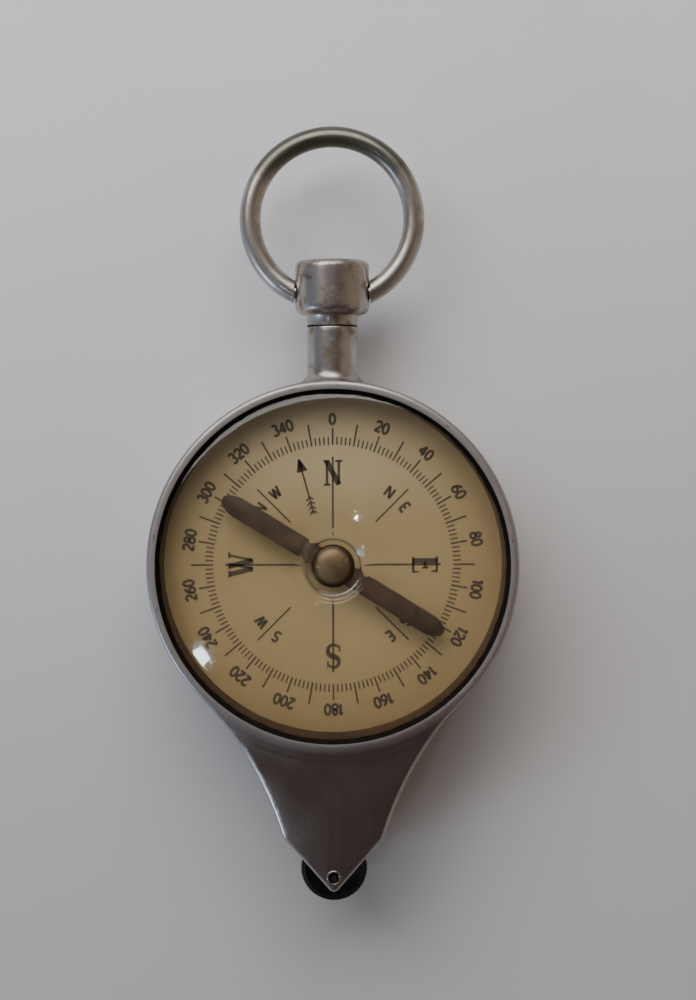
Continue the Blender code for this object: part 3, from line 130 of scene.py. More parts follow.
def soften(profile, radius, closed, steps=3):
    """Round every corner of a profile; a profile that starts and ends on the axis is open."""
    softened = []
    count = len(profile)
    for index, point in enumerate(profile):
        here = Vector(point)
        if not closed and index in (0, count - 1):
            softened.append(tuple(here))
            continue
        before = Vector(profile[index - 1]) - here
        after = Vector(profile[(index + 1) % count]) - here
        reach = min(radius, 0.45 * before.length, 0.45 * after.length)
        first = here + before.normalized() * reach
        last = here + after.normalized() * reach
        for step in range(steps + 1):
            share = step / steps
            mixed = first * (1.0 - share) ** 2 + here * 2.0 * share * (1.0 - share) + last * share ** 2
            softened.append(tuple(mixed))
    return softened


def turned(profile, closed, facets=144, wave=None):
    """Turn a (radius, height) profile round Z. wave changes the radius along the way round."""
    bm = bmesh.new()
    rings = []
    for index, (radius, z) in enumerate(profile):
        if radius < 1e-6:
            rings.append([bm.verts.new((0.0, 0.0, z))])
            continue
        ring = []
        for facet in range(facets):
            angle = TAU * facet / facets
            here = radius + (wave(index, angle) if wave else 0.0)
            ring.append(bm.verts.new((here * math.cos(angle), here * math.sin(angle), z)))
        rings.append(ring)
    if closed:
        rings.append(rings[0])
    for lower, upper in zip(rings, rings[1:]):
        for facet in range(facets):
            corners = [lower[facet % len(lower)], lower[(facet + 1) % len(lower)],
                       upper[(facet + 1) % len(upper)], upper[facet % len(upper)]]
            unique = list(dict.fromkeys(corners))
            if len(unique) > 2:
                bm.faces.new(unique)
    return bm


def slab(outline, low, high, edge, steps=2):
    """A flat plate cut to an outline, with its edges rounded off."""
    bm = bmesh.new()
    middle_low = low + edge
    middle_high = high - edge
    loops = []
    for step in range(steps + 1):
        angle = math.pi / 2.0 * step / steps
        moved = inset(outline, edge * (1.0 - math.sin(angle)))
        loops.append([bm.verts.new((x, y, middle_low - edge * math.cos(angle))) for x, y in moved])
    for step in range(steps, -1, -1):
        angle = math.pi / 2.0 * step / steps
        moved = inset(outline, edge * (1.0 - math.sin(angle)))
        loops.append([bm.verts.new((x, y, middle_high + edge * math.cos(angle))) for x, y in moved])
    for lower, upper in zip(loops, loops[1:]):
        for index in range(len(lower)):
            bm.faces.new((lower[index - 1], lower[index], upper[index], upper[index - 1]))
    bm.faces.new(loops[0])
    bm.faces.new(loops[-1])
    return bm


def inset(outline, distance):
    """The outline moved inwards (its points run counter-clockwise)."""
    moved = []
    for index, point in enumerate(outline):
        here = Vector(point)
        into = (here - Vector(outline[index - 1])).normalized()
        out_of = (Vector(outline[(index + 1) % len(outline)]) - here).normalized()
        normal_in = Vector((-into.y, into.x))
        middle = (normal_in + Vector((-out_of.y, out_of.x))).normalized()
        moved.append(tuple(here + middle * distance / max(middle.dot(normal_in), 0.5)))
    return moved


def make_piece(name, bm, body, finish, stands_for=(), place=(0.0, 0.0, 0.0),
               turn=(0.0, 0.0, 0.0), sharp=34.0):
    """Make one visible piece from a mesh in millimetres and let it ride on its body."""
    bmesh.ops.recalc_face_normals(bm, faces=bm.faces)
    bm.transform(Matrix.Scale(MM, 4))
    mesh = bpy.data.meshes.new(name)
    bm.to_mesh(mesh)
    bm.free()
    mesh.shade_smooth()
    mesh.set_sharp_from_angle(angle=math.radians(sharp))
    piece = bpy.data.objects.new(name, mesh)
    bpy.context.collection.objects.link(piece)
    piece.location = (place[0] * MM, (place[1] + CENTRE_Y) * MM, place[2] * MM)
    piece.rotation_euler = turn
    mesh.materials.append(finish)
    bpy.context.view_layer.update()
    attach(piece, body)
    if stands_for:
        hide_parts(*stands_for)
    return piece


def cut(bm, cutter_bm):
    """The solid with another one taken out of it, as a new mesh."""
    solids = []
    for solid in (bm, cutter_bm):
        bmesh.ops.recalc_face_normals(solid, faces=solid.faces)
        mesh = bpy.data.meshes.new("solid")
        solid.to_mesh(mesh)
        solid.free()
        solids.append(bpy.data.objects.new("solid", mesh))
        bpy.context.collection.objects.link(solids[-1])
    boolean = solids[0].modifiers.new("cut", "BOOLEAN")
    boolean.operation = "DIFFERENCE"
    boolean.solver = "EXACT"
    boolean.object = solids[1]
    graph = bpy.context.evaluated_depsgraph_get()
    result = bmesh.new()
    result.from_mesh(solids[0].evaluated_get(graph).to_mesh())
    for solid in solids:
        bpy.data.objects.remove(solid, do_unlink=True)
    return result


# ---------------------------------------------------------------- shader helpers
def feed(tree, socket, value):
    """Link a value's socket to an input, or set the input itself."""
    if isinstance(value, bpy.types.NodeSocket):
        tree.links.new(value, socket)
    else:
        socket.default_value = value


def add_node(tree, kind, values=None, **settings):
    """A node with its settings, and its named inputs set or linked."""
    node = tree.nodes.new(kind)
    for key, value in settings.items():
        setattr(node, key, value)
    for key, value in (values or {}).items():
        feed(tree, node.inputs[key], value)
    return node


def millimetres(tree):
    """Coordinates of the piece itself, in millimetres."""
    scaled = add_node(tree, "ShaderNodeVectorMath", {"Scale": 1.0 / MM}, operation="SCALE")
    tree.links.new(tree.nodes.new("ShaderNodeTexCoord").outputs["Object"], scaled.inputs[0])
    return scaled.outputs["Vector"]


def up_the_piece(tree):
    """How far up the piece a point lies, towards the hanging ring, in millimetres."""
    return add_node(tree, "ShaderNodeSeparateXYZ", {"Vector": millimetres(tree)}).outputs["Y"]


def reach_of(tree, place):
    """Distance of a place from the origin."""
    length = add_node(tree, "ShaderNodeVectorMath", operation="LENGTH")
    feed(tree, length.inputs[0], place)
    return length.outputs["Value"]


def from_axis(tree):
    """Distance from the piece's own axis, in millimetres."""
    flat = add_node(tree, "ShaderNodeVectorMath", operation="MULTIPLY")
    flat.inputs[1].default_value = (1.0, 1.0, 0.0)
    feed(tree, flat.inputs[0], millimetres(tree))
    return reach_of(tree, flat.outputs["Vector"])


def step_between(tree, value, low, high, out_low=0.0, out_high=1.0):
    """A smooth step of a value from one level to another."""
    mapped = add_node(tree, "ShaderNodeMapRange",
                      {"Value": value, "From Min": low, "From Max": high, "To Min": out_low,
                       "To Max": out_high}, interpolation_type="SMOOTHSTEP")
    return mapped.outputs["Result"]


def sum_node(tree, operation, first, second):
    """One sum of two values or sockets."""
    node = add_node(tree, "ShaderNodeMath", operation=operation)
    feed(tree, node.inputs[0], first)
    feed(tree, node.inputs[1], second)
    return node.outputs["Value"]


def plus(tree, first, second):
    """The sum of two values."""
    return sum_node(tree, "ADD", first, second)


def minus(tree, first, second):
    """The difference of two values."""
    return sum_node(tree, "SUBTRACT", first, second)


def times(tree, first, second):
    """The product of two values."""
    return sum_node(tree, "MULTIPLY", first, second)


def mix_colour(tree, factor, first, second):
    """Two colours mixed by a mask."""
    node = add_node(tree, "ShaderNodeMix", data_type="RGBA")
    for index, value in ((0, factor), (6, first), (7, second)):
        feed(tree, node.inputs[index], (*value, 1.0) if isinstance(value, tuple) else value)
    return node.outputs[2]


def brighter(colour, factor):
    """The same colour, lighter or darker."""
    return tuple(min(1.0, part * factor) for part in colour)


def new_group(name, inputs, outputs):
    """A shader node group: its tree, the sockets that it is given and those that it puts out."""
    tree = bpy.data.node_groups.new(name, "ShaderNodeTree")
    for label, value in inputs.items():
        kind = "NodeSocketVector" if isinstance(value, tuple) else "NodeSocketFloat"
        socket = tree.interface.new_socket(label, in_out="INPUT", socket_type=kind)
        socket.default_value = value
    for label in outputs:
        tree.interface.new_socket(label, in_out="OUTPUT", socket_type="NodeSocketFloat")
    return tree, tree.nodes.new("NodeGroupInput").outputs, tree.nodes.new("NodeGroupOutput").inputs


def blotches_group():
    """Soft uneven patches, as tarnish, ageing or handling leaves them."""
    tree, given, out = new_group(
        "blotches", {"Patch Size": 4.0, "Cover": 0.5, "Softness": 0.15, "Seed": 0.0}, ("Mask", "Fine"))
    noise = add_node(tree, "ShaderNodeTexNoise",
                     {"Vector": millimetres(tree), "W": given["Seed"], "Detail": 6.0, "Roughness": 0.62,
                      "Scale": sum_node(tree, "DIVIDE", 1.0, given["Patch Size"])},
                     noise_dimensions="4D")
    middle = minus(tree, 1.0, given["Cover"])
    mask = step_between(tree, noise.outputs["Fac"], minus(tree, middle, given["Softness"]),
                        plus(tree, middle, given["Softness"]))
    feed(tree, out["Mask"], mask)
    feed(tree, out["Fine"], noise.outputs["Fac"])
    return tree


def hairlines_group():
    """Fine scratches in three directions, as a height and a mask."""
    tree, given, out = new_group("hairlines", {"Density": 6.0, "Amount": 0.5}, ("Height", "Mask"))
    place = millimetres(tree)
    masks = []
    for turn, stretch in ((0.5, (0.12, 3.2, 1.0)), (2.0, (0.09, 2.6, 1.0)), (1.2, (0.2, 2.9, 1.0))):
        drawn = add_node(tree, "ShaderNodeMapping",
                         {"Vector": place, "Rotation": (0.0, 0.3, turn), "Scale": stretch})
        noise = add_node(tree, "ShaderNodeTexNoise",
                         {"Vector": drawn.outputs["Vector"], "Scale": given["Density"], "Detail": 2.0,
                          "Distortion": 0.15})
        masks.append(step_between(tree, noise.outputs["Fac"], 0.60, 0.70))
    all_lines = sum_node(tree, "MAXIMUM", sum_node(tree, "MAXIMUM", masks[0], masks[1]), masks[2])
    strength = times(tree, all_lines, given["Amount"])
    feed(tree, out["Mask"], strength)
    feed(tree, out["Height"], minus(tree, 1.0, strength))
    return tree


def rubbed_edges_group():
    """A mask of convex edges, broken up by a fine noise."""
    tree, given, out = new_group("rubbed_edges", {"Level": 0.54, "Breakup": 0.06}, ("Mask",))
    noise = add_node(tree, "ShaderNodeTexNoise",
                     {"Vector": millimetres(tree), "Scale": 1.3, "Detail": 4.0})
    shift = times(tree, minus(tree, noise.outputs["Fac"], 0.5), given["Breakup"])
    convex = tree.nodes.new("ShaderNodeNewGeometry").outputs["Pointiness"]
    level = plus(tree, minus(tree, convex, given["Level"]), shift)
    feed(tree, out["Mask"], step_between(tree, level, 0.0, 0.05))
    return tree


def specks_group():
    """Small pits and grains of dirt, in some of the cells only."""
    tree, given, out = new_group("specks", {"Density": 1.2, "Size": 0.12}, ("Mask",))
    cells = add_node(tree, "ShaderNodeTexVoronoi",
                     {"Vector": millimetres(tree), "Scale": given["Density"]}, feature="F1")
    lot = add_node(tree, "ShaderNodeSeparateColor", {"Color": cells.outputs["Color"]})
    chosen = step_between(tree, lot.outputs["Red"], 0.55, 0.6)
    dots = step_between(tree, minus(tree, given["Size"], cells.outputs["Distance"]), 0.0, 0.05)
    feed(tree, out["Mask"], times(tree, dots, chosen))
    return tree


def grain_group():
    """Long fine lines along one direction, as a finishing stone or a brush leaves them."""
    tree, given, out = new_group("grain", {"Along": (0.15, 6.0, 6.0), "Turn": 0.0}, ("Height",))
    angle = add_node(tree, "ShaderNodeCombineXYZ", {"Z": given["Turn"]})
    drawn = add_node(tree, "ShaderNodeMapping",
                     {"Vector": millimetres(tree), "Rotation": angle.outputs["Vector"],
                      "Scale": given["Along"]})
    noise = add_node(tree, "ShaderNodeTexNoise",
                     {"Vector": drawn.outputs["Vector"], "Scale": 3.0, "Detail": 3.0})
    feed(tree, out["Height"], noise.outputs["Fac"])
    return tree


GROUPS = {
    "blotches": blotches_group(),
    "hairlines": hairlines_group(),
    "rubbed_edges": rubbed_edges_group(),
    "specks": specks_group(),
    "grain": grain_group(),
}


def use_group(tree, name, **values):
    """One of the shared effects, placed in a material with its own values."""
    node = add_node(tree, "ShaderNodeGroup", node_tree=GROUPS[name])
    for key, value in values.items():
        node.inputs[key.replace("_", " ")].default_value = value
    return node.outputs


def new_finish(name, metallic):
    """An empty material with its Principled shader."""
    material = bpy.data.materials.new(name)
    material.use_nodes = True
    shader = material.node_tree.nodes["Principled BSDF"]
    shader.inputs["Metallic"].default_value = metallic
    return material, material.node_tree, shader


def put_on(tree, shader, colour, level, height=None, strength=0.0, distance=0.01):
    """Give a shader its colour, its roughness and its fine relief; the distance is in millimetres."""
    feed(tree, shader.inputs["Base Color"], colour)
    feed(tree, shader.inputs["Roughness"], level)
    if height is not None:
        relief = add_node(tree, "ShaderNodeBump",
                          {"Strength": strength, "Distance": distance * MM, "Height": height})
        feed(tree, shader.inputs["Normal"], relief.outputs["Normal"])


def plated(name, clean, dull, stain, seed, smooth, rough, scratches, stain_cover, coat, bead=None,
           hook=None):
    """Nickel plate: rubbed edges, dull patches, stains and hairlines.

    Inside the radius of the bead it is rougher, and its colour is darkened as painted shade that dims
    the bead's highlight. From the height of the hook upwards its colour goes darker, toward the stain.
    """
    material, tree, shader = new_finish(name, 1.0)
    shader.inputs["Coat Weight"].default_value = coat
    shader.inputs["Coat Roughness"].default_value = 0.1
    patches = use_group(tree, "blotches", Patch_Size=3.6, Cover=0.5, Softness=0.16, Seed=seed)
    stains = use_group(tree, "blotches", Patch_Size=1.3, Cover=stain_cover, Softness=0.07,
                       Seed=seed + 3.0)
    edges = use_group(tree, "rubbed_edges", Level=0.53, Breakup=0.08)
    lines = use_group(tree, "hairlines", Density=5.0, Amount=scratches)
    pits = use_group(tree, "specks", Density=0.7, Size=0.05)
    colour = mix_colour(tree, patches["Mask"], clean, dull)
    colour = mix_colour(tree, stains["Mask"], colour, stain)
    colour = mix_colour(tree, times(tree, edges["Mask"], 0.3), colour, brighter(clean, 1.4))
    colour = mix_colour(tree, pits["Mask"], colour, brighter(stain, 0.25))
    level = step_between(tree, patches["Fine"], 0.3, 0.7, smooth, rough)
    level = plus(tree, level, times(tree, lines["Mask"], 0.12))
    level = plus(tree, level, times(tree, stains["Mask"], 0.1))
    if bead:
        # painted shade: inside the bead's radius the colour is darkened toward the stain colour to dim
        # its highlight, and the surface is rougher
        rougher_and_painted_shade = step_between(tree, from_axis(tree), bead, bead + 1.0, 1.0, 0.0)
        level = plus(tree, level, times(tree, rougher_and_painted_shade, 0.30))
        colour = mix_colour(tree, times(tree, rougher_and_painted_shade, 0.55), colour, stain)
    if hook:
        # From the hook's height upwards the colour goes darker, toward the stain colour.
        uneven = plus(tree, up_the_piece(tree), times(tree, stains["Fine"], 4.0))
        darker_upwards = step_between(tree, uneven, hook, hook + 2.6)
        colour = mix_colour(tree, times(tree, darker_upwards, 0.9), colour, stain)
    height = minus(tree, lines["Height"], pits["Mask"])
    height = plus(tree, height, times(tree, patches["Fine"], 0.8))
    put_on(tree, shader, colour, level, height, 0.14)
    return material


def worked_metal(name, clean, dull, seed, smooth, rough, along=(0.15, 6.0, 6.0), turn=0.0,
                 relief=0.25, metallic=1.0, patch=2.5, painted_shade_beyond=None):
    """Turned, stamped or stoned metal: a grain, dull patches and rubbed edges.

    Beyond the radius given last its colour is darkened as painted shade, for the shaded rim of the
    needle's dome.
    """
    material, tree, shader = new_finish(name, metallic)
    patches = use_group(tree, "blotches", Patch_Size=patch, Cover=0.5, Softness=0.18, Seed=seed)
    edges = use_group(tree, "rubbed_edges", Level=0.53, Breakup=0.06)
    lines = use_group(tree, "grain", Along=along, Turn=turn)
    colour = mix_colour(tree, patches["Mask"], clean, dull)
    colour = mix_colour(tree, times(tree, edges["Mask"], 0.7), colour, brighter(clean, 1.6))
    if painted_shade_beyond:
        # painted shade: beyond the given radius the colour is darkened, for the shaded rim of the
        # needle's dome
        painted_rim_shade = step_between(tree, from_axis(tree), painted_shade_beyond, painted_shade_beyond + 0.5, 0.0, 0.85)
        colour = mix_colour(tree, painted_rim_shade, colour, brighter(dull, 0.12))
    level = step_between(tree, lines["Height"], 0.3, 0.7, smooth, rough)
    put_on(tree, shader, colour, level, lines["Height"], relief)
    return material


def aged_card(name, pale, toned, spot, edge_tone, painted_top_haze):
    """Printed card: mottled, lighter at north as a painted reflection of haze, toned at its rim, with
    foxing and fibres.
    """
    material, tree, shader = new_finish(name, 0.0)
    mottle = use_group(tree, "blotches", Patch_Size=5.0, Cover=0.5, Softness=0.3, Seed=1.0)
    foxing = use_group(tree, "blotches", Patch_Size=0.9, Cover=0.3, Softness=0.05, Seed=7.0)
    fibres = use_group(tree, "grain", Along=(3.0, 3.0, 3.0), Turn=0.7)
    rim = step_between(tree, reach_of(tree, millimetres(tree)), 10.5, 16.0, 0.0, 0.6)
    colour = mix_colour(tree, mottle["Mask"], pale, toned)
    # painted reflection: the card is lighter toward north, standing in for the haze that the crystal
    # reflects there
    colour = mix_colour(tree, step_between(tree, up_the_piece(tree), 1.0, 15.0), colour, painted_top_haze)
    colour = mix_colour(tree, rim, colour, edge_tone)
    colour = mix_colour(tree, times(tree, foxing["Mask"], 0.22), colour, spot)
    level = step_between(tree, fibres["Height"], 0.2, 0.8, 0.5, 0.72)
    put_on(tree, shader, colour, level, fibres["Height"], 0.2)
    return material


def printing_ink(name, dense, thin, seed):
    """Ink that lies unevenly on its ground."""
    material, tree, shader = new_finish(name, 0.0)
    body = use_group(tree, "blotches", Patch_Size=0.5, Cover=0.5, Softness=0.2, Seed=seed)
    put_on(tree, shader, mix_colour(tree, body["Mask"], dense, thin),
           step_between(tree, body["Fine"], 0.3, 0.7, 0.5, 0.7))
    return material


def clear_crystal(name, tint, haze, low, high, scratches):
    """Clear sheet with fine scratches; it lets the light through to the dial below."""
    material, tree, shader = new_finish(name, 0.0)
    shader.inputs["Transmission Weight"].default_value = 1.0
    shader.inputs["IOR"].default_value = 1.49
    clouds = use_group(tree, "blotches", Patch_Size=6.0, Cover=0.45, Softness=0.3, Seed=2.0)
    lines = use_group(tree, "hairlines", Density=3.5, Amount=scratches)
    level = step_between(tree, clouds["Fine"], 0.3, 0.75, low, high)
    level = plus(tree, level, times(tree, lines["Mask"], 0.06))
    put_on(tree, shader, mix_colour(tree, clouds["Mask"], tint, haze), level, lines["Height"], 0.07,
           0.006)
    light_path = tree.nodes.new("ShaderNodeLightPath")
    see_through = add_node(tree, "ShaderNodeBsdfTransparent", {"Color": (0.94, 0.92, 0.88, 1.0)})
    mixed = add_node(tree, "ShaderNodeMixShader", {"Fac": light_path.outputs["Is Shadow Ray"]})
    feed(tree, mixed.inputs[1], shader.outputs["BSDF"])
    feed(tree, mixed.inputs[2], see_through.outputs["BSDF"])
    feed(tree, tree.nodes["Material Output"].inputs["Surface"], mixed.outputs["Shader"])
    return material


def bench_paper(name, pale, shaded, near):
    """Pale matt sheet under the instrument, with painted shade that makes it greyer towards its near
    edge.
    """
    material, tree, shader = new_finish(name, 0.0)
    clouds = use_group(tree, "blotches", Patch_Size=30.0, Cover=0.5, Softness=0.3, Seed=4.0)
    fibres = use_group(tree, "grain", Along=(1.0, 1.0, 1.0), Turn=0.4)
    colour = mix_colour(tree, clouds["Mask"], pale, shaded)
    # painted shade: the sheet goes greyer towards its near edge, where the light falls off
    colour = mix_colour(tree, step_between(tree, up_the_piece(tree), -50.0, 60.0, 1.0, 0.0), colour,
                        near)
    level = step_between(tree, fibres["Height"], 0.2, 0.8, 0.8, 0.92)
    put_on(tree, shader, colour, level, fibres["Height"], 0.25, 0.03)
    return material


# From 15.9 mm inwards the case's colour is darkened as painted shade on the bead.
NICKEL = plated("worn_nickel", (0.42, 0.385, 0.365), (0.36, 0.325, 0.305), (0.28, 0.24, 0.21),
                0.0, 0.18, 0.27, 0.10, 0.30, 0.15, 15.9)
NICKEL_SATIN = plated("satin_nickel", (0.43, 0.385, 0.35), (0.30, 0.262, 0.232), (0.19, 0.15, 0.115),
                      5.0, 0.25, 0.38, 0.55, 0.43, 0.5)
NICKEL_RING = plated("tarnished_nickel", (0.42, 0.375, 0.33), (0.30, 0.265, 0.22),
                     (0.115, 0.108, 0.08), 9.0, 0.30, 0.42, 0.5, 0.36, 0.3, None, 11.2)
PLATE_BRASS = worked_metal("plate_brass", (0.66, 0.47, 0.20), (0.50, 0.34, 0.15), 1.0, 0.26, 0.42)
# The needle's dome is darkened beyond 1.25 mm as painted shade.
CAP_BRASS = worked_metal("aged_cap_brass", (0.22, 0.16, 0.10), (0.16, 0.11, 0.065), 2.0, 0.36, 0.46,
                         (0.7, 0.7, 0.7), 0.0, 0.05, 1.0, 2.5, 1.25)
DARK_BRASS = worked_metal("dark_brass", (0.062, 0.031, 0.015), (0.036, 0.019, 0.010), 3.0, 0.4, 0.6,
                          (1.0, 1.0, 8.0), 0.0, 0.2, 0.55)
# Very dark finish for the wheel's bushes and arbor.
DARK_BUSH = worked_metal("very_dark_bush", (0.018, 0.013, 0.010), (0.010, 0.008, 0.006), 11.0, 0.4,
                         0.6, (2.0, 2.0, 2.0), 0.0, 0.2, 0.6)
CEMENT = worked_metal("black_cement", (0.005, 0.004, 0.003), (0.010, 0.0075, 0.005), 4.0, 0.6, 0.85,
                      (3.0, 3.0, 3.0), 0.0, 0.4, 0.0, 0.8)
CEMENT.node_tree.nodes["Principled BSDF"].inputs["Specular IOR Level"].default_value = 0.04
STEEL = worked_metal("turned_steel", (0.50, 0.50, 0.50), (0.34, 0.33, 0.32), 5.0, 0.2, 0.36)
BLUED = worked_metal("blued_steel", (0.035, 0.05, 0.14), (0.06, 0.045, 0.11), 6.0, 0.18, 0.32)
WHEEL_STEEL = worked_metal("blackened_wheel_steel", (0.022, 0.020, 0.020), (0.012, 0.011, 0.012), 7.0,
                           0.28, 0.5, (2.0, 2.0, 2.0), 0.0, 0.3, 0.7)
BRONZED = worked_metal("bronzed_needle", (0.052, 0.030, 0.016), (0.022, 0.013, 0.008), 8.0, 0.38, 0.58,
                       (0.5, 2.0, 2.0), NEEDLE_BEARING, 0.3, 0.4, 1.0)
SILVERED = worked_metal("silvered_dial", (0.70, 0.66, 0.56), (0.60, 0.54, 0.42), 9.0, 0.42, 0.6,
                        (2.0, 2.0, 2.0), 0.3, 0.2, 0.35)
# The last colour is the painted reflection of haze at the card's north.
CARD = aged_card("ivory_card", (0.262, 0.193, 0.088), (0.235, 0.168, 0.072), (0.15, 0.10, 0.04),
                 (0.245, 0.172, 0.075), (0.36, 0.29, 0.175))
CARD_INK = printing_ink("card_ink", (0.028, 0.018, 0.009), (0.05, 0.033, 0.017), 1.0)
DIAL_INK = printing_ink("distance_ink", (0.02, 0.02, 0.022), (0.04, 0.04, 0.042), 2.0)
CELLULOID = clear_crystal("celluloid_crystal", (0.985, 0.965, 0.925), (0.97, 0.94, 0.89), 0.02, 0.06, 0.5)
GLASS = clear_crystal("rear_glass", (0.97, 0.985, 0.975), (0.95, 0.97, 0.96), 0.01, 0.03, 0.35)
# The last colour is painted shade at the sheet's near edge.
PAPER = bench_paper("pale_paper", (0.80, 0.79, 0.795), (0.765, 0.755, 0.755), (0.56, 0.525, 0.495))


# ---------------------------------------------------------------- pressed case
def round_corner(before, corner, after, radius, steps):
    """Points that replace a sharp corner of the outline by an arc."""
    corner = Vector(corner)
    to_before = (Vector(before) - corner).normalized()
    to_after = (Vector(after) - corner).normalized()
    half = to_before.angle(to_after) / 2.0
    centre = corner + (to_before + to_after).normalized() * radius / math.sin(half)
    first = corner + to_before * radius / math.tan(half) - centre
    last = corner + to_after * radius / math.tan(half) - centre
    start = math.atan2(first.y, first.x)
    sweep = (math.atan2(last.y, last.x) - start + math.pi) % TAU - math.pi
    return [(centre.x + radius * math.cos(start + sweep * step / steps),
             centre.y + radius * math.sin(start + sweep * step / steps)) for step in range(steps + 1)]


def flank_middle():
    """Middle of the hollow curve on the right of the horn: it touches the round wall."""
    corner = Vector(CORNER)
    span = corner.length
    reach = CASE_RADIUS + FLANK_RADIUS
    along = (span ** 2 + reach ** 2 - FLANK_RADIUS ** 2) / (2.0 * span)
    across = math.sqrt(reach ** 2 - along ** 2)
    direction = corner / span
    return direction * along + Vector((-direction.y, direction.x)) * across


def end_of_cut(inner, outer):
    """Two points close together on either side of the place where the wheel's cut ends."""
    step_along = (outer - inner).normalized() * 0.01
    for _ in range(20):
        halfway = (inner + outer) / 2.0
        if wheel_cut_away(halfway):
            inner = halfway
        else:
            outer = halfway
    return [tuple(inner - step_along), tuple(inner + step_along)]


def pear_outline():
    """The whole outline of the case from the nose, counter-clockwise."""
    middle = flank_middle()
    start = math.atan2(CORNER[1] - middle.y, CORNER[0] - middle.x) % TAU
    end = math.atan2(-middle.y, -middle.x) % TAU
    flank = bow(middle, (FLANK_RADIUS, FLANK_RADIUS), math.degrees(start), math.degrees(end), 34)
    nose = (0.0, NOSE_Y)
    right = round_corner(nose, CORNER, flank[1], CORNER_ROUND, 9) + flank[1:]
    mirrored = [(-x, y) for x, y in reversed(right)]
    tip = round_corner(mirrored[-1], nose, right[0], NOSE_ROUND, 11)
    edge = [tuple(Vector(tip[-1]).lerp(Vector(right[0]), step / 14.0)) for step in range(15)]
    slanted = []
    for before, after in zip(edge, edge[1:]):
        if wheel_cut_away(before) and not wheel_cut_away(after):
            slanted += end_of_cut(Vector(before), Vector(after))
        slanted.append(after)
    right = slanted[:-1] + right
    left = [(-x, y) for x, y in reversed(right)]
    touch = math.degrees(math.atan2(right[-1][1], right[-1][0]))
    wall = bow((0.0, 0.0), (CASE_RADIUS, CASE_RADIUS), touch, 180.0 - touch, 170)
    return tip + right + wall[1:-1] + left


def wheel_cut_away(point):
    """Whether the wall is cut away there for the tracing wheel."""
    return math.hypot(point[0], point[1] - WHEEL_Y) < WHEEL_CUT


def outline_columns():
    """For each point of the outline: the point, the way inwards and the way out from the centre."""
    outline = pear_outline()
    columns = []
    for index, point in enumerate(outline):
        ahead = Vector(outline[(index + 1) % len(outline)]) - Vector(outline[index - 1])
        inwards = Vector((-ahead.y, ahead.x)).normalized()
        columns.append((Vector(point), inwards, Vector(point).normalized()))
    return columns


def join_columns(columns):
    """A closed skin through columns that all have the same number of points."""
    bm = bmesh.new()
    made = [[bm.verts.new(point) for point in column] for column in columns]
    for index, here in enumerate(made):
        before = made[index - 1]
        for row in range(len(here)):
            bm.faces.new((before[row - 1], here[row - 1], here[row], before[row]))
    return bm


def at_height(point, z):
    """A point of the outline's plane lifted to a height."""
    return (point.x, point.y, z)


def cheek_height(radius):
    """The front cheek swells up to the bead, with a faint pressed line round it."""
    reach = max(0.0, radius - RIM_EDGE) / 2.3
    swell = (1.0 - min(1.0, reach)) ** 2.4
    line = 0.035 * math.exp(-((radius - 17.15) / 0.11) ** 2)
    return FRONT_CHEEK + (RIM_TOP - FRONT_CHEEK) * swell + line * min(1.0, reach * 3.0)


# The rounded bend from wall to cheek: how far in from the wall and how far below the cheek.
CHEEK_BEND_POINTS = bow((CHEEK_BEND, CHEEK_BEND), (CHEEK_BEND, CHEEK_BEND), 180, 270, 6)
# Where the cheek has its rows of points, in millimetres out from the bead.
CHEEK_RINGS = (3.2, 2.4, 1.9, 1.6, 1.42, 1.3, 1.2, 1.12, 1.04, 0.95, 0.84, 0.7, 0.52, 0.36, 0.2, 0.08)


def front_column(point, inwards, outwards):
    """From the seam up the outside, over the cheek and the bead, and down the inside."""
    ceiling = FRONT_CHEEK - SHEET
    cut_away = wheel_cut_away(point)
    low = ceiling - 0.02 if cut_away else SEAM + SEAM_HALF_GAP
    rise = 0.003 if cut_away else (9.8 - low) / 2.0
    excess = point.length - CASE_RADIUS
    stand = RIM_STAND * max(0.0, 1.0 - excess / 0.5)
    column = [at_height(point, low + rise * step) for step in range(3)]
    flat_edge = point + inwards * CHEEK_BEND
    top = cheek_height(flat_edge.length)
    for across, up in CHEEK_BEND_POINTS:
        column.append(at_height(point + inwards * (across - stand), top - up))
    span = flat_edge.length - RIM_EDGE
    rim_point = outwards * RIM_EDGE
    for index, reach in enumerate(CHEEK_RINGS):
        share = 1.0 - min(reach, span * (1.0 - (index + 1) / (len(CHEEK_RINGS) + 1))) / max(span, 1e-6)
        middle = flat_edge.lerp(rim_point, share)
        column.append(at_height(middle, cheek_height(middle.length)))
    bore = [(RIM_EDGE - 0.02, RIM_TOP), (15.73, RIM_TOP), (15.69, RIM_TOP - 0.01),
            (15.66, RIM_TOP - 0.04), (RIM_BORE, RIM_TOP - 0.12), (RIM_BORE, CRYSTAL_SEAT),
            (BORE_RADIUS - 0.02, CRYSTAL_SEAT)]
    column += [at_height(outwards * radius, z) for radius, z in bore]
    pocket = max(0.0, min(1.0, excess / 0.6))
    roof = CRYSTAL_SEAT + (ceiling - CRYSTAL_SEAT) * pocket
    column.append(at_height(outwards * BORE_RADIUS, roof))
    inner = point + inwards * (SHEET - (0.1 if cut_away else 0.0))
    column.append(at_height(inner, roof - 0.001))
    column.append(at_height(inner, low))
    return column


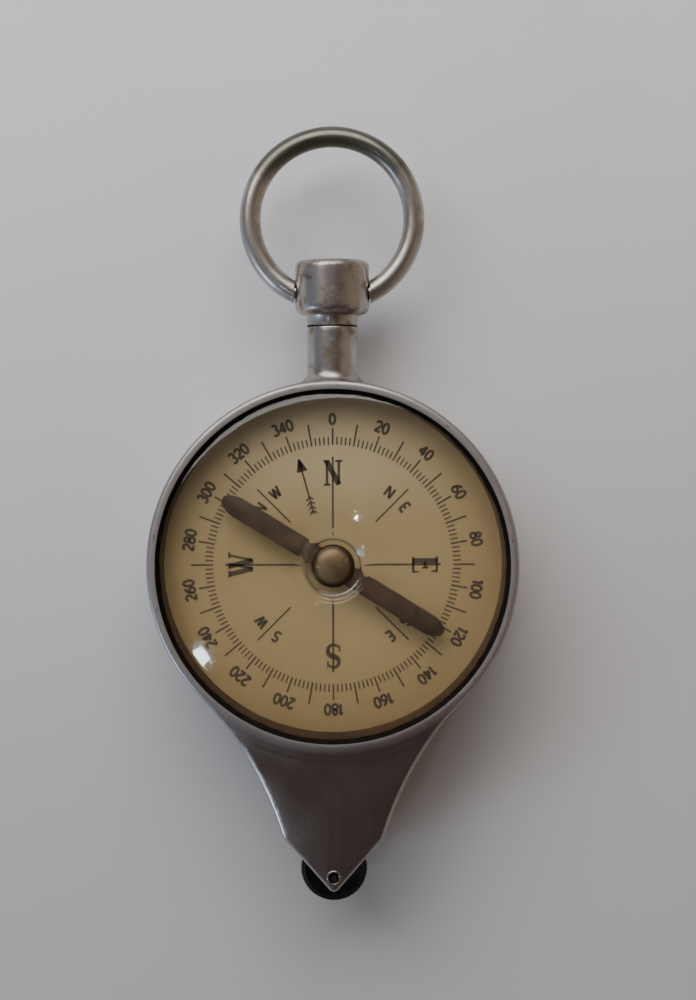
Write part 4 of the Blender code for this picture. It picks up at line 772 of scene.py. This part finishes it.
def rear_column(point, inwards, outwards):
    """From the seam down the outside, over the rear cheek and the neck, and up the inside."""
    floor = REAR_CHEEK + SHEET
    cut_away = wheel_cut_away(point)
    high = floor + 0.02 if cut_away else SEAM - SEAM_HALF_GAP
    fall = 0.003 if cut_away else (high - 2.2) / 2.0
    column = [at_height(point, high - fall * step) for step in range(3)]
    for across, up in CHEEK_BEND_POINTS:
        column.append(at_height(point + inwards * across, REAR_CHEEK + up))
    neck = [(NECK_RADIUS + 0.12, REAR_CHEEK), (NECK_RADIUS + 0.03, REAR_CHEEK - 0.03),
            (NECK_RADIUS, REAR_CHEEK - 0.12), (NECK_RADIUS, NECK_END + 0.06),
            (NECK_RADIUS - 0.06, NECK_END), (NECK_BORE + 0.06, NECK_END),
            (NECK_BORE, NECK_END + 0.06), (NECK_BORE, floor)]
    column += [at_height(outwards * radius, z) for radius, z in neck]
    inner = point + inwards * (SHEET - (0.1 if cut_away else 0.0))
    column.append(at_height(inner, floor + 0.001))
    column.append(at_height(inner, high))
    return column


def make_pressings():
    """Front and rear half of the case, with the holes for the wheel's pivots."""
    columns = outline_columns()
    halves = (("front_pressing", front_column, "front_shell", FRONT_CHEEK),
              ("rear_pressing", rear_column, "rear_shell", REAR_CHEEK))
    for name, column, node, cheek in halves:
        skin = join_columns([column(*place) for place in columns])
        hole = turned([(0.0, -1.0), (PIVOT_HOLE, -1.0), (PIVOT_HOLE, 1.0), (0.0, 1.0)], False, 40)
        bmesh.ops.translate(hole, verts=hole.verts, vec=(0.0, WHEEL_Y, cheek))
        make_piece(name, cut(skin, hole), "case", NICKEL, (node,))
        edge = [(PIVOT_HOLE, -0.05), (PIVOT_HOLE, 0.025), (0.62, 0.025), (0.74, -0.05)]
        lip = turned(soften(edge, 0.05, True), True, 48)
        if node == "rear_shell":
            bmesh.ops.rotate(lip, verts=lip.verts, matrix=Matrix.Rotation(math.pi, 3, "X"))
        bmesh.ops.translate(lip, verts=lip.verts, vec=(0.0, WHEEL_Y, cheek))
        make_piece(f"{name}_pivot_lip", lip, "case", NICKEL)


def make_rear_bezel():
    """Pressed ring over the neck, with a bead at its lip and a thumb notch to lift it by."""
    profile = [(15.64, 1.67), (16.5, 1.67), (16.5, 0.9), (16.43, 0.82), (16.5, 0.74), (16.5, 0.25),
               (16.3, 0.03), (15.9, 0.0), (14.9, 0.0), (14.7, 0.1), (14.7, 0.4), (15.64, 0.4)]

    def notch(index, angle):
        near = math.exp(-((angle - math.pi * 1.19) / 0.05) ** 2)
        return -0.22 * near if 20 < index < 36 else 0.0

    bm = turned(soften(profile, 0.12, True, 3), True, 240, notch)
    make_piece("rear_bezel_ring", bm, "case", NICKEL, ("rear_bezel",))


# ---------------------------------------------------------------- crystals
def make_crystals():
    """Domed celluloid with its pressed dimple, the cement round it, and the flat rear glass."""
    radius = 15.59
    rise = 1.25
    thick = 0.7
    ball = (radius ** 2 + rise ** 2) / (2.0 * rise)

    def dome(at_radius):
        return CRYSTAL_SEAT + rise - ball + math.sqrt(ball ** 2 - at_radius ** 2)

    dimple_floor = 10.4
    steps = 22

    def pressed(floor, start, end, lift):
        """Profile from the axis out: the dimple's floor, its wall and the dome."""
        points = [(0.0, floor), (start * 0.6, floor), (start - 0.08, floor + 0.02)]
        for step in range(1, 12):
            share = step / 12.0
            eased = share * share * (3.0 - 2.0 * share)
            points.append((start + (end - start) * share, floor + (dome(end) + lift - floor) * eased))
        for step in range(1, steps + 1):
            at = end + (radius - end) * step / steps
            points.append((at, dome(at) + lift))
        return points

    inner = pressed(dimple_floor, 2.27, 3.18, 0.0)
    outer = pressed(dimple_floor + thick - 0.01, 2.37, 3.25, thick)
    outer[-1] = (radius, outer[-1][1] - 0.12)
    profile = inner + outer[::-1]
    make_piece("dome_crystal", turned(profile, False, 160), "case", CELLULOID,
               ("compass_crystal",), sharp=60.0)
    cement = turned(soften([(15.34, 9.975), (15.62, 9.975), (15.62, 9.995), (15.34, 9.995)], 0.005,
                           True, 1), True, 144)
    make_piece("crystal_cement", cement, "case", CEMENT)

    def ragged(index, angle):
        """Uneven inner edge of the cement that has crept over the crystal's edge."""
        if index not in (0, 1):
            return 0.0
        return 0.035 * math.sin(7.0 * angle + 0.6) + 0.03 * math.sin(23.0 * angle) \
            + 0.02 * math.sin(61.0 * angle + 1.1)

    crept = [(15.34, 10.715), (15.36, 10.765), (15.50, 10.88), (15.60, 11.04), (15.67, 11.185),
             (15.72, 11.206), (15.64, 11.12), (15.625, 10.60)]
    make_piece("crept_cement", turned(crept, True, 360, ragged), "case", CEMENT)
    rear = soften([(0.0, 0.43), (15.56, 0.43), (15.56, 0.93), (0.0, 0.93)], 0.1, False, 3)
    make_piece("back_glass", turned(rear, False, 144), "case", GLASS,
               ("rear_crystal",))


# ---------------------------------------------------------------- printing
# Each glyph has its width and its strokes, in a box one unit high. A closed stroke repeats its
# first point.
PLAIN_GLYPHS = {
    "0": (0.64, [bow((0.30, 0.5), (0.235, 0.44), 90, 450, 22)]),
    "1": (0.42, [[(0.04, 0.76), (0.24, 0.95), (0.24, 0.03)]]),
    "2": (0.64, [bow((0.29, 0.69), (0.225, 0.25), 165, -35, 9) + [(0.05, 0.055), (0.56, 0.055)]]),
    "3": (0.62, [bow((0.26, 0.72), (0.20, 0.225), 145, -85, 9)
                 + bow((0.26, 0.28), (0.24, 0.235), 80, -145, 10)]),
    "4": (0.66, [[(0.43, 0.03), (0.43, 0.95), (0.05, 0.29), (0.60, 0.29)]]),
    "5": (0.62, [[(0.52, 0.945), (0.15, 0.945), (0.11, 0.57)]
                 + bow((0.27, 0.32), (0.24, 0.27), 118, -140, 10)]),
    "6": (0.64, [bow((0.30, 0.29), (0.23, 0.245), 180, 540, 18),
                 [(0.49, 0.93), (0.29, 0.80), (0.13, 0.58), (0.07, 0.30)]]),
    "7": (0.60, [[(0.04, 0.945), (0.54, 0.945), (0.20, 0.03)]]),
    "8": (0.64, [bow((0.30, 0.73), (0.18, 0.21), 270, 630, 16),
                 bow((0.30, 0.27), (0.23, 0.235), 90, 450, 18)]),
    "9": (0.64, [bow((0.30, 0.70), (0.23, 0.245), 0, 360, 18),
                 [(0.11, 0.06), (0.31, 0.19), (0.47, 0.41), (0.53, 0.69)]]),
    "N": (0.78, [[(0.08, 0.02), (0.08, 0.97), (0.62, 0.03), (0.62, 0.98)]]),
    "E": (0.62, [[(0.52, 0.95), (0.09, 0.95), (0.09, 0.05), (0.54, 0.05)],
                 [(0.09, 0.51), (0.45, 0.51)]]),
    "S": (0.62, [bow((0.29, 0.72), (0.20, 0.22), 25, 255, 10)
                 + bow((0.29, 0.28), (0.23, 0.23), 75, -150, 11)]),
    "W": (0.96, [[(0.04, 0.97), (0.25, 0.04), (0.44, 0.93), (0.64, 0.04), (0.86, 0.97)]]),
}
# Widths along the large S, from its end to just before its middle.
SWELLING = [0.06, 0.07, 0.08, 0.09, 0.10, 0.11, 0.12, 0.13, 0.15, 0.165, 0.175]
# The four large letters have thick and thin strokes and feet: (points, width or widths).
LARGE_LETTERS = {
    "N": (0.74, [([(0.14, 0.03), (0.14, 0.96)], 0.075), ([(0.61, 0.03), (0.61, 0.96)], 0.075),
                 ([(0.12, 0.97), (0.62, 0.03)], 0.19), ([(0.01, 0.025), (0.28, 0.025)], 0.055),
                 ([(0.0, 0.97), (0.22, 0.97)], 0.055), ([(0.47, 0.97), (0.75, 0.97)], 0.055)]),
    "E": (0.70, [([(0.20, 0.0), (0.20, 1.0)], 0.17), ([(0.04, 0.97), (0.64, 0.97)], 0.065),
                 ([(0.04, 0.03), (0.66, 0.03)], 0.065), ([(0.25, 0.51), (0.48, 0.51)], 0.06),
                 ([(0.62, 0.99), (0.62, 0.73)], [0.10, 0.03]),
                 ([(0.64, 0.01), (0.64, 0.28)], [0.10, 0.03]), ([(0.48, 0.38), (0.48, 0.64)], 0.055)]),
    "S": (0.66, [(bow((0.32, 0.735), (0.215, 0.215), 28, 252, 10)
                  + bow((0.32, 0.275), (0.235, 0.235), 72, -152, 11), SWELLING + [0.18] + SWELLING[::-1]),
                 ([(0.55, 0.98), (0.55, 0.70)], [0.03, 0.075]),
                 ([(0.08, 0.02), (0.08, 0.31)], [0.03, 0.075])]),
    "W": (1.02, [([(0.13, 0.97), (0.36, 0.03)], 0.17), ([(0.36, 0.03), (0.53, 0.86)], 0.07),
                 ([(0.46, 0.97), (0.69, 0.03)], 0.17), ([(0.69, 0.03), (0.90, 0.97)], 0.07),
                 ([(0.0, 0.97), (0.28, 0.97)], 0.055), ([(0.36, 0.97), (0.60, 0.97)], 0.055),
                 ([(0.78, 0.97), (1.02, 0.97)], 0.055)]),
}


def stroke(bm, points, widths, low):
    """One inked line: a thin closed strip along the points, with its own width at each."""
    points = [Vector(point) for point in points]
    closed = (points[0] - points[-1]).length < 1e-6
    if closed:
        points.pop()
    count = len(points)
    if not isinstance(widths, list):
        widths = [widths] * count
    for index in range(1, count - 1):
        turn = (points[index] - points[index - 1]).angle(points[index + 1] - points[index])
        if turn > math.radians(75.0):
            stroke(bm, points[:index + 1], widths[:index + 1], low)
            stroke(bm, points[index:], widths[index:], low)
            return
    sections = []
    for index, point in enumerate(points):
        before = points[index - 1] if closed or index > 0 else None
        after = points[(index + 1) % count] if closed or index < count - 1 else None
        into = (point - before).normalized() if before is not None else (after - point).normalized()
        out_of = (after - point).normalized() if after is not None else into
        side = Vector((-(into + out_of).y, (into + out_of).x)).normalized()
        reach = widths[index] / 2.0 / max(side.dot(Vector((-into.y, into.x))), 0.6)
        corners = []
        for sign, z in ((1.0, low), (-1.0, low), (-1.0, low + INK_THICK), (1.0, low + INK_THICK)):
            corner = point + side * sign * reach
            corners.append(bm.verts.new((corner.x, corner.y, z)))
        sections.append(corners)
    pairs = list(zip(sections, sections[1:])) + ([(sections[-1], sections[0])] if closed else [])
    for here, there in pairs:
        for corner in range(4):
            bm.faces.new((here[corner - 1], here[corner], there[corner], there[corner - 1]))
    if not closed:
        bm.faces.new(sections[0])
        bm.faces.new(sections[-1])


def outwards_at(bearing):
    """The way out from the middle at a bearing, clockwise from north."""
    return Vector((math.sin(bearing), math.cos(bearing)))


def placed(point, bearing, radius, across, scale):
    """A point of a glyph's box, set upright on a circle at a bearing."""
    right = Vector((math.cos(bearing), -math.sin(bearing)))
    middle = outwards_at(bearing) * (radius + (point[1] - 0.5) * scale)
    return middle + right * (point[0] * scale + across)


def print_text(bm, text, bearing, radius, height, weight, low):
    """A word or number set on the circle, tops outwards."""
    width = sum(PLAIN_GLYPHS[letter][0] for letter in text) * height
    across = -width / 2.0
    for letter in text:
        advance, strokes = PLAIN_GLYPHS[letter]
        for points in strokes:
            moved = [placed(point, bearing, radius, across, height) for point in points]
            stroke(bm, moved, weight, low)
        across += advance * height


def radial_line(bm, bearing, start, end, width, low):
    """One inked line from one radius to another."""
    stroke(bm, [outwards_at(bearing) * start, outwards_at(bearing) * end], width, low)


def largest_divisor(number, divisors):
    """The first of the divisors that divides the number."""
    return next(divisor for divisor in divisors if number % divisor == 0)


def make_card():
    """Compass card with its degree scale, points and declination arrow."""
    low = CARD_TOP - 0.3
    card = soften([(1.04, low), (15.81, low), (15.81, CARD_TOP), (1.04, CARD_TOP)], 0.04, True, 2)
    make_piece("compass_card", turned(card, True, 144), "case", CARD, ("compass_dial",))
    ticks = bmesh.new()
    numbers = bmesh.new()
    points = bmesh.new()
    for degree in range(0, 360, 2):
        bearing = math.radians(degree)
        end, width = TICK_ENDS[largest_divisor(degree, (20, 10, 2))]
        radial_line(ticks, bearing, TICK_INNER, end, width, CARD_TOP)
        if degree % 20 == 0:
            print_text(numbers, str(degree), bearing, NUMBER_RING, NUMBER_HEIGHT, 0.235, CARD_TOP)
    for index, letter in enumerate("NESW"):
        bearing = math.radians(90.0 * index)
        advance, strokes = LARGE_LETTERS[letter]
        for line, width in strokes:
            moved = [placed(point, bearing, LETTER_RING, -advance * LETTER_HEIGHT / 2.0, LETTER_HEIGHT)
                     for point in line]
            if isinstance(width, list):
                width = [part * 2.6 for part in width]
            else:
                width = width * LETTER_HEIGHT + 0.07
            stroke(points, moved, width, CARD_TOP)
        radial_line(ticks, bearing, 3.4, 9.67, 0.18, CARD_TOP)
        diagonal = bearing + math.radians(45.0)
        radial_line(ticks, diagonal, 5.37, 9.58, 0.15, CARD_TOP)
        for side, name in ((-1.0, "NSSN"[index]), (1.0, "EEWW"[index])):
            print_text(points, name, diagonal + math.radians(6.6) * side, LETTER_RING, 1.04, 0.24,
                       CARD_TOP)
    make_declination_arrow(points)
    for name, bm in (("card_scale_ticks", ticks), ("card_scale_numbers", numbers),
                     ("card_compass_points", points)):
        make_piece(name, bm, "case", CARD_INK, (), sharp=20.0)


def make_declination_arrow(bm):
    """Small feathered arrow west of north, for the difference between true and magnetic north."""
    tail = Vector((-1.70, 4.57))
    head = Vector((-3.04, 9.45))
    along = (head - tail).normalized()
    side = Vector((-along.y, along.x))
    stroke(bm, [tail, head - along * 0.5], 0.16, CARD_TOP)
    barb = head - along * 1.15
    for share in (0.42, 0.24, 0.08):
        stroke(bm, [barb + side * share, head, barb - side * share], 0.17, CARD_TOP)
    for step in range(4):
        root = tail + along * (0.30 + 0.42 * step)
        for hand in (-1.0, 1.0):
            stroke(bm, [root, root - along * 0.30 + side * hand * 0.34], 0.14, CARD_TOP)


def make_sloped_ring():
    """Darkened ring between card and crystal."""
    profile = [(15.81, 7.57), (15.81, 9.97), (15.35, 9.97), (15.0, 7.57)]
    make_piece("sloped_ring", turned(soften(profile, 0.06, True, 2), True, 160), "case", DARK_BRASS,
               ("rehaut_ring",))


# ---------------------------------------------------------------- needle
def make_needle():
    """Bronzed magnet and the domed brass cap on the steel point."""
    half = 11.5
    quarter = [(0.91, 10.0), (0.87, 10.35), (0.77, 10.72), (0.62, 11.05), (0.44, 11.33), (0.24, half)]
    end = quarter + [(-x, y) for x, y in reversed(quarter)]
    outline = end + [(-x, -y) for x, y in end]
    magnet = slab(outline, 0.0, NEEDLE_THICK, 0.06, 3)
    hole = turned([(0.0, -1.0), (0.66, -1.0), (0.66, 1.0), (0.0, 1.0)], False, 32)
    place = (0.0, 0.0, NEEDLE_LOW)
    turn = (0.0, 0.0, -NEEDLE_BEARING)
    make_piece("bronzed_magnet", cut(magnet, hole), "needle", BRONZED,
               ("compass_needle",), place, turn)
    dome = bow((0.0, 0.55), (HUB_RADIUS, 0.61), 0.0, 82.5, 11)
    profile = [(0.0, 0.62), (0.43, -0.45), (0.62, -0.45), (0.62, 0.28), (HUB_RADIUS, 0.28),
               (HUB_RADIUS, 0.50)] + dome + [(0.0, 1.16)]
    make_piece("needle_dome", turned(soften(profile, 0.06, False, 2), False, 96), "needle", CAP_BRASS,
               ("needle_cap",), place, turn, 50.0)


# ---------------------------------------------------------------- tracing wheel and rear screws
def make_tracing_wheel():
    """Blackened wheel with fine cut teeth, a dished web and a hub."""
    teeth = 72
    half = [(0.53, 0.90), (0.95, 0.90), (1.0, 0.85), (1.0, 0.45), (1.25, 0.40), (2.2, 0.40),
            (2.45, 0.60), (2.63, 0.60), (2.72, 0.42), (2.9, 0.36), (3.0, 0.14)]
    profile = [(radius, -z) for radius, z in half] + [(radius, z) for radius, z in reversed(half)]
    toothed = {10: 1.0, 11: 1.0, 9: 0.7, 12: 0.7}

    def cut_teeth(index, angle):
        phase = (angle + math.pi / 2.0) * teeth / TAU % 1.0
        depth = min(1.0, 2.4 * min(phase, 1.0 - phase))
        return 0.0315 - 0.075 * depth * toothed[index] if index in toothed else 0.0

    bm = turned(profile, True, teeth * 6, cut_teeth)
    make_piece("cut_tracing_wheel", bm, "wheel", WHEEL_STEEL, ("tracing_wheel",),
               (0.0, WHEEL_Y, SEAM), (0.0, 0.0, 0.0), 40.0)


def make_rear_screws():
    """Slotted screws that hold the rear cheek, heads outwards."""
    for number, x in ((1, -REAR_SCREW_X), (2, REAR_SCREW_X)):
        head = soften([(0.0, -0.32), (0.6, -0.31), (0.90, -0.24), (0.95, -0.05), (0.95, -0.03),
                       (0.35, -0.03), (0.35, 1.05), (0.0, 1.05)], 0.05, False, 2)
        slot = bmesh.new()
        bmesh.ops.create_cube(slot, size=1.0)
        bmesh.ops.scale(slot, verts=slot.verts, vec=(4.0, 0.17, 0.28))
        bmesh.ops.rotate(slot, verts=slot.verts, cent=(0.0, 0.0, 0.0),
                         matrix=Matrix.Rotation(0.6 * number, 3, "Z"))
        bmesh.ops.translate(slot, verts=slot.verts, vec=(0.0, 0.0, -0.32))
        make_piece(f"slotted_screw_{number}", cut(turned(head, False, 48), slot), "case", STEEL,
                   (f"cheek_screw_{number}",), (x, REAR_SCREW_Y, REAR_CHEEK))


# ---------------------------------------------------------------- distance side
def make_distance_side():
    """Silvered dial with a hundred divisions, one for each ten millimetres, and its blued pointer."""
    behind = (0.0, math.pi, 0.0)
    dial = [(0.5, DIAL_FACE), (15.16, DIAL_FACE), (15.16, 2.25), (0.5, 2.25)]
    make_piece("distance_plate", turned(soften(dial, 0.05, True, 2), True, 144), "case", SILVERED,
               ("distance_dial",))
    scale = bmesh.new()
    numbers = bmesh.new()
    for division in range(100):
        bearing = TAU * division / 100.0
        inner, width = DIAL_MARKS[largest_divisor(division, (10, 5, 1))]
        radial_line(scale, bearing, inner, DIAL_OUTER, width, 0.0)
        if division % 10 == 0:
            print_text(numbers, str(division), bearing, 11.5, 1.5, 0.17, 0.0)
    for radius in (DIAL_OUTER + 0.05, 7.6):
        stroke(scale, bow((0.0, 0.0), (radius, radius), 0, 360, 120), 0.08, 0.0)
    for name, bm in (("distance_divisions", scale), ("distance_numbers", numbers)):
        make_piece(name, bm, "case", DIAL_INK, (), (0.0, 0.0, DIAL_FACE), behind, 20.0)
    eye = 1.15
    spread = math.degrees(0.244)
    outline = bow((0.0, 0.0), (eye, eye), 90 + spread, 270 - spread, 14)
    outline += [(-0.42, -2.6), (-0.52, -4.1), (0.0, -3.7), (0.52, -4.1), (0.42, -2.6)]
    outline += bow((0.0, 0.0), (eye, eye), -90 + spread, 90 - spread, 14)
    outline += [(0.16, 5.0), (0.05, 11.75), (-0.05, 11.75), (-0.16, 5.0)]
    make_piece("blued_pointer", slab(outline, 1.52, 1.67, 0.03, 2), "centre_wheel_set", BLUED,
               ("distance_pointer",), sharp=40.0)
    collet = soften([(0.0, 1.19), (0.3, 1.2), (0.62, 1.26), (0.85, 1.36), (0.85, 1.49), (0.0, 1.49)],
                    0.04, False, 2)
    make_piece("domed_collet", turned(collet, False, 64), "centre_wheel_set", PLATE_BRASS,
               ("pointer_collet",))


# ---------------------------------------------------------------- pendant, cap and ring
ALONG_Y = (-math.pi / 2.0, 0.0, 0.0)


def make_pendant():
    """Stem with its flared foot, and the barrel cap that turns on it."""
    flare = 1.05
    foot = [(STEM_RADIUS + flare, STEM_FOOT)]
    foot += bow((STEM_RADIUS + flare, STEM_FOOT + 0.4 + flare), (flare, flare), -90, -180, 8)
    stem = foot + [(STEM_RADIUS, 17.7), (STEM_RADIUS, 18.4), (STEM_RADIUS, 20.9), (STEM_RADIUS, 21.28),
                   (STEM_RADIUS - 0.02, 21.36), (STEM_RADIUS - 0.07, STEM_TOP), (1.3, STEM_TOP),
                   (1.22, STEM_TOP - 0.05), (1.2, STEM_FOOT)]
    make_piece("flared_stem", turned(stem, True, 96), "case", NICKEL_SATIN,
               ("pendant_tube",), (0.0, 0.0, SEAM), ALONG_Y, 50.0)

    def crept_out(index, angle):
        """Dirt stands out of the seam in a few places only."""
        if index not in (1, 2):
            return 0.0
        lobes = max(0.0, math.cos(angle - math.pi)) ** 6 + 0.6 * max(0.0, math.cos(angle - 0.35)) ** 30
        return 0.035 * lobes + 0.012 * math.sin(9.0 * angle)

    grime = [(1.6, STEM_TOP + 0.005), (STEM_RADIUS - 0.015, STEM_TOP + 0.005),
             (STEM_RADIUS - 0.015, CAP_NECK_LOW - 0.015), (1.6, CAP_NECK_LOW - 0.015)]
    make_piece("seam_dirt", turned(grime, True, 144, crept_out), "case", CEMENT, (),
               (0.0, 0.0, SEAM), ALONG_Y)
    shank = 1.15
    profile = [(0.0, 18.3), (shank, 18.3), (shank, CAP_NECK_LOW), (STEM_RADIUS - 0.05, CAP_NECK_LOW),
               (STEM_RADIUS, CAP_NECK_LOW + 0.05), (STEM_RADIUS, CAP_LOW - 0.12),
               (STEM_RADIUS + 0.06, CAP_LOW - 0.03), (STEM_RADIUS + 0.22, CAP_LOW)]
    profile += bow((CAP_RADIUS - 0.85, CAP_LOW + 0.85), (0.85, 0.85), -84, 0, 9)
    profile += [(CAP_RADIUS, 23.6), (CAP_RADIUS, 24.2), (CAP_RADIUS, 25.6), (CAP_RADIUS, 26.4)]
    profile += bow((CAP_RADIUS - 0.62, CAP_TOP - 0.62), (0.62, 0.62), 0, 82, 8)
    profile += [(1.6, CAP_TOP - 0.004), (0.0, CAP_TOP)]
    barrel = turned(profile, False, 112)
    for side in (-1.0, 1.0):
        hole = turned([(0.0, 2.0), (0.66, 2.0), (0.66, 5.0), (0.0, 5.0)], False, 32)
        bmesh.ops.rotate(hole, verts=hole.verts, cent=(0.0, 0.0, 0.0),
                         matrix=Matrix.Rotation(side * math.pi / 2.0, 3, "Y"))
        bmesh.ops.translate(hole, verts=hole.verts, vec=(0.0, 0.0, BOW_PIVOT))
        barrel = cut(barrel, hole)
    make_piece("barrel_cap", barrel, "cap", NICKEL_SATIN, ("bow_cap",), (0.0, 0.0, SEAM),
               ALONG_Y, 40.0)


def pin_circle(x, sides):
    """Points round a pin of the ring, in step with those of the wire."""
    return [(x, -BOW_PIN_RADIUS * math.cos(TAU * index / sides),
             BOW_PIN_RADIUS * math.sin(TAU * index / sides)) for index in range(sides)]


def make_hanging_ring():
    """Open wire ring; its ends are cut square to the cap and carry the two pins."""
    sides = 28
    steps = 132
    rise = BOW_CENTRE - BOW_PIVOT
    start = math.atan2(-rise, BOW_END)
    sweep = math.pi - 2.0 * start
    bm = bmesh.new()
    loops = []
    for step in range(steps + 1):
        angle = start + sweep * step / steps
        spoke = Vector((math.cos(angle), math.sin(angle), 0.0))
        along = Vector((-math.sin(angle), math.cos(angle), 0.0))
        centre = Vector((0.0, rise, 0.0)) + spoke * BOW_RADIUS
        loop = []
        for index in range(sides):
            turn = TAU * index / sides
            point = centre + (spoke * math.cos(turn) + Vector((0.0, 0.0, math.sin(turn)))) * WIRE_RADIUS
            if step in (0, steps):
                wall = BOW_END if step == 0 else -BOW_END
                point += along * (wall - point.x) / along.x
            loop.append(point)
        loops.append(loop)
    rows = [pin_circle(BOW_PIN_END, sides), pin_circle(BOW_END - 0.02, sides)] + loops
    rows += [pin_circle(0.02 - BOW_END, sides), pin_circle(-BOW_PIN_END, sides)]
    rows = [[bm.verts.new(point) for point in row] for row in rows]
    for before, here in zip(rows, rows[1:]):
        for index in range(sides):
            bm.faces.new((before[index - 1], before[index], here[index], here[index - 1]))
    bm.faces.new(rows[0])
    bm.faces.new(rows[-1])
    make_piece("hanging_ring", bm, "ring", NICKEL_RING, ("bow_ring",),
               (0.0, BOW_PIVOT, SEAM), sharp=50.0)


# ---------------------------------------------------------------- pieces kept from the frame
def finish_kept_pieces():
    """Give the movement's own pieces their finishes."""
    kept = {
        PLATE_BRASS: ("compass_dial_plate", "main_plate", "rear_plate", "pillar_1", "pillar_2",
                      "pillar_3", "horn_post", "first_gear", "second_gear", "centre_gear",
                      "swivel_washer"),
        DARK_BUSH: ("front_bush", "rear_bush", "wheel_arbor"),
        STEEL: ("compass_pivot", "first_arbor", "second_arbor", "centre_arbor", "plate_screw_1",
                 "plate_screw_2", "plate_screw_3", "post_screw"),
    }
    for finish, names in kept.items():
        for name in names:
            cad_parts[name].material_slots[0].material = finish


# ---------------------------------------------------------------- table, light and camera
def make_table():
    """Pale sheet under the instrument."""
    bm = bmesh.new()
    bmesh.ops.create_grid(bm, x_segments=2, y_segments=2, size=0.9)
    mesh = bpy.data.meshes.new("pale_sheet")
    bm.to_mesh(mesh)
    bm.free()
    sheet = bpy.data.objects.new("pale_sheet", mesh)
    bpy.context.collection.objects.link(sheet)
    mesh.materials.append(PAPER)


def add_soft_light(name, place, aim, size, power, colour):
    """A rectangular soft light that looks at a point."""
    data = bpy.data.lights.new(name, "AREA")
    data.shape = "RECTANGLE"
    data.size, data.size_y = size
    data.energy = power
    data.color = colour
    light = bpy.data.objects.new(name, data)
    bpy.context.collection.objects.link(light)
    light.location = place
    light.rotation_euler = (Vector(aim) - Vector(place)).to_track_quat("-Z", "Y").to_euler()


def light_the_scene():
    """A wide soft window beyond the ring, two bluish ones at the left, a small lamp and a dim room."""
    add_soft_light("wide_window", (-0.07, 0.225, 0.225), (0.0, 0.01, 0.0), (0.40, 0.22), 1.22,
                   (0.96, 0.975, 1.0))
    add_soft_light("low_window", (-0.30, -0.18, 0.10), (0.0, -0.005, 0.005), (0.08, 0.05), 0.36,
                   (0.50, 0.68, 1.0))
    add_soft_light("crystal_window", (-0.176, -0.158, 0.50), (0.0, -0.01, 0.0), (0.020, 0.026), 0.09,
                   (0.74, 0.87, 1.0))
    add_soft_light("small_lamp", (0.027, 0.0235, 0.51), (0.0, 0.0, 0.0), (0.003, 0.003), 0.006,
                   (1.0, 0.82, 0.95))
    bpy.context.scene.world = dim_room()


def dim_room():
    """Dark overhead, with soft light from beyond the ring, the low left and the warm right."""
    world = bpy.data.worlds.new("dim_room")
    world.use_nodes = True
    tree = world.node_tree
    direction = tree.nodes.new("ShaderNodeTexCoord").outputs["Generated"]
    colour = (0.165, 0.145, 0.135)
    sides = (((0.0, -0.10, 1.0), 0.55, 0.92, (0.074, 0.053, 0.050)),
             ((-0.10, 0.86, 0.50), 0.55, 1.0, (0.26, 0.265, 0.28)),
             ((-0.88, -0.38, 0.28), 0.76, 1.0, (0.28, 0.375, 0.55)),
             ((0.93, -0.05, 0.36), 0.66, 1.0, (0.46, 0.385, 0.31)))
    for side, start, full, tint in sides:
        facing = add_node(tree, "ShaderNodeVectorMath", operation="DOT_PRODUCT")
        tree.links.new(direction, facing.inputs[0])
        facing.inputs[1].default_value = Vector(side).normalized()
        colour = mix_colour(tree, step_between(tree, facing.outputs["Value"], start, full), colour, tint)
    tree.links.new(colour, tree.nodes["Background"].inputs["Color"])
    return world


def add_camera():
    """Above the crystal, looking down almost square."""
    data = bpy.data.cameras.new("camera")
    data.sensor_width = 36.0
    data.lens = 72.69
    camera = bpy.data.objects.new("camera", data)
    bpy.context.collection.objects.link(camera)
    camera.location = (0.81 * MM, 7.81 * MM, 188.95 * MM)
    camera.rotation_euler = [math.radians(angle) for angle in (-2.0, -0.18, -0.17)]
    bpy.context.scene.camera = camera


for old in [item for item in bpy.data.objects if item.type in ("LIGHT", "CAMERA")]:
    bpy.data.objects.remove(old, do_unlink=True)
make_pressings()
make_rear_bezel()
make_crystals()
make_card()
make_sloped_ring()
make_needle()
make_tracing_wheel()
make_rear_screws()
make_distance_side()
make_pendant()
make_hanging_ring()
finish_kept_pieces()
make_table()
light_the_scene()
add_camera()
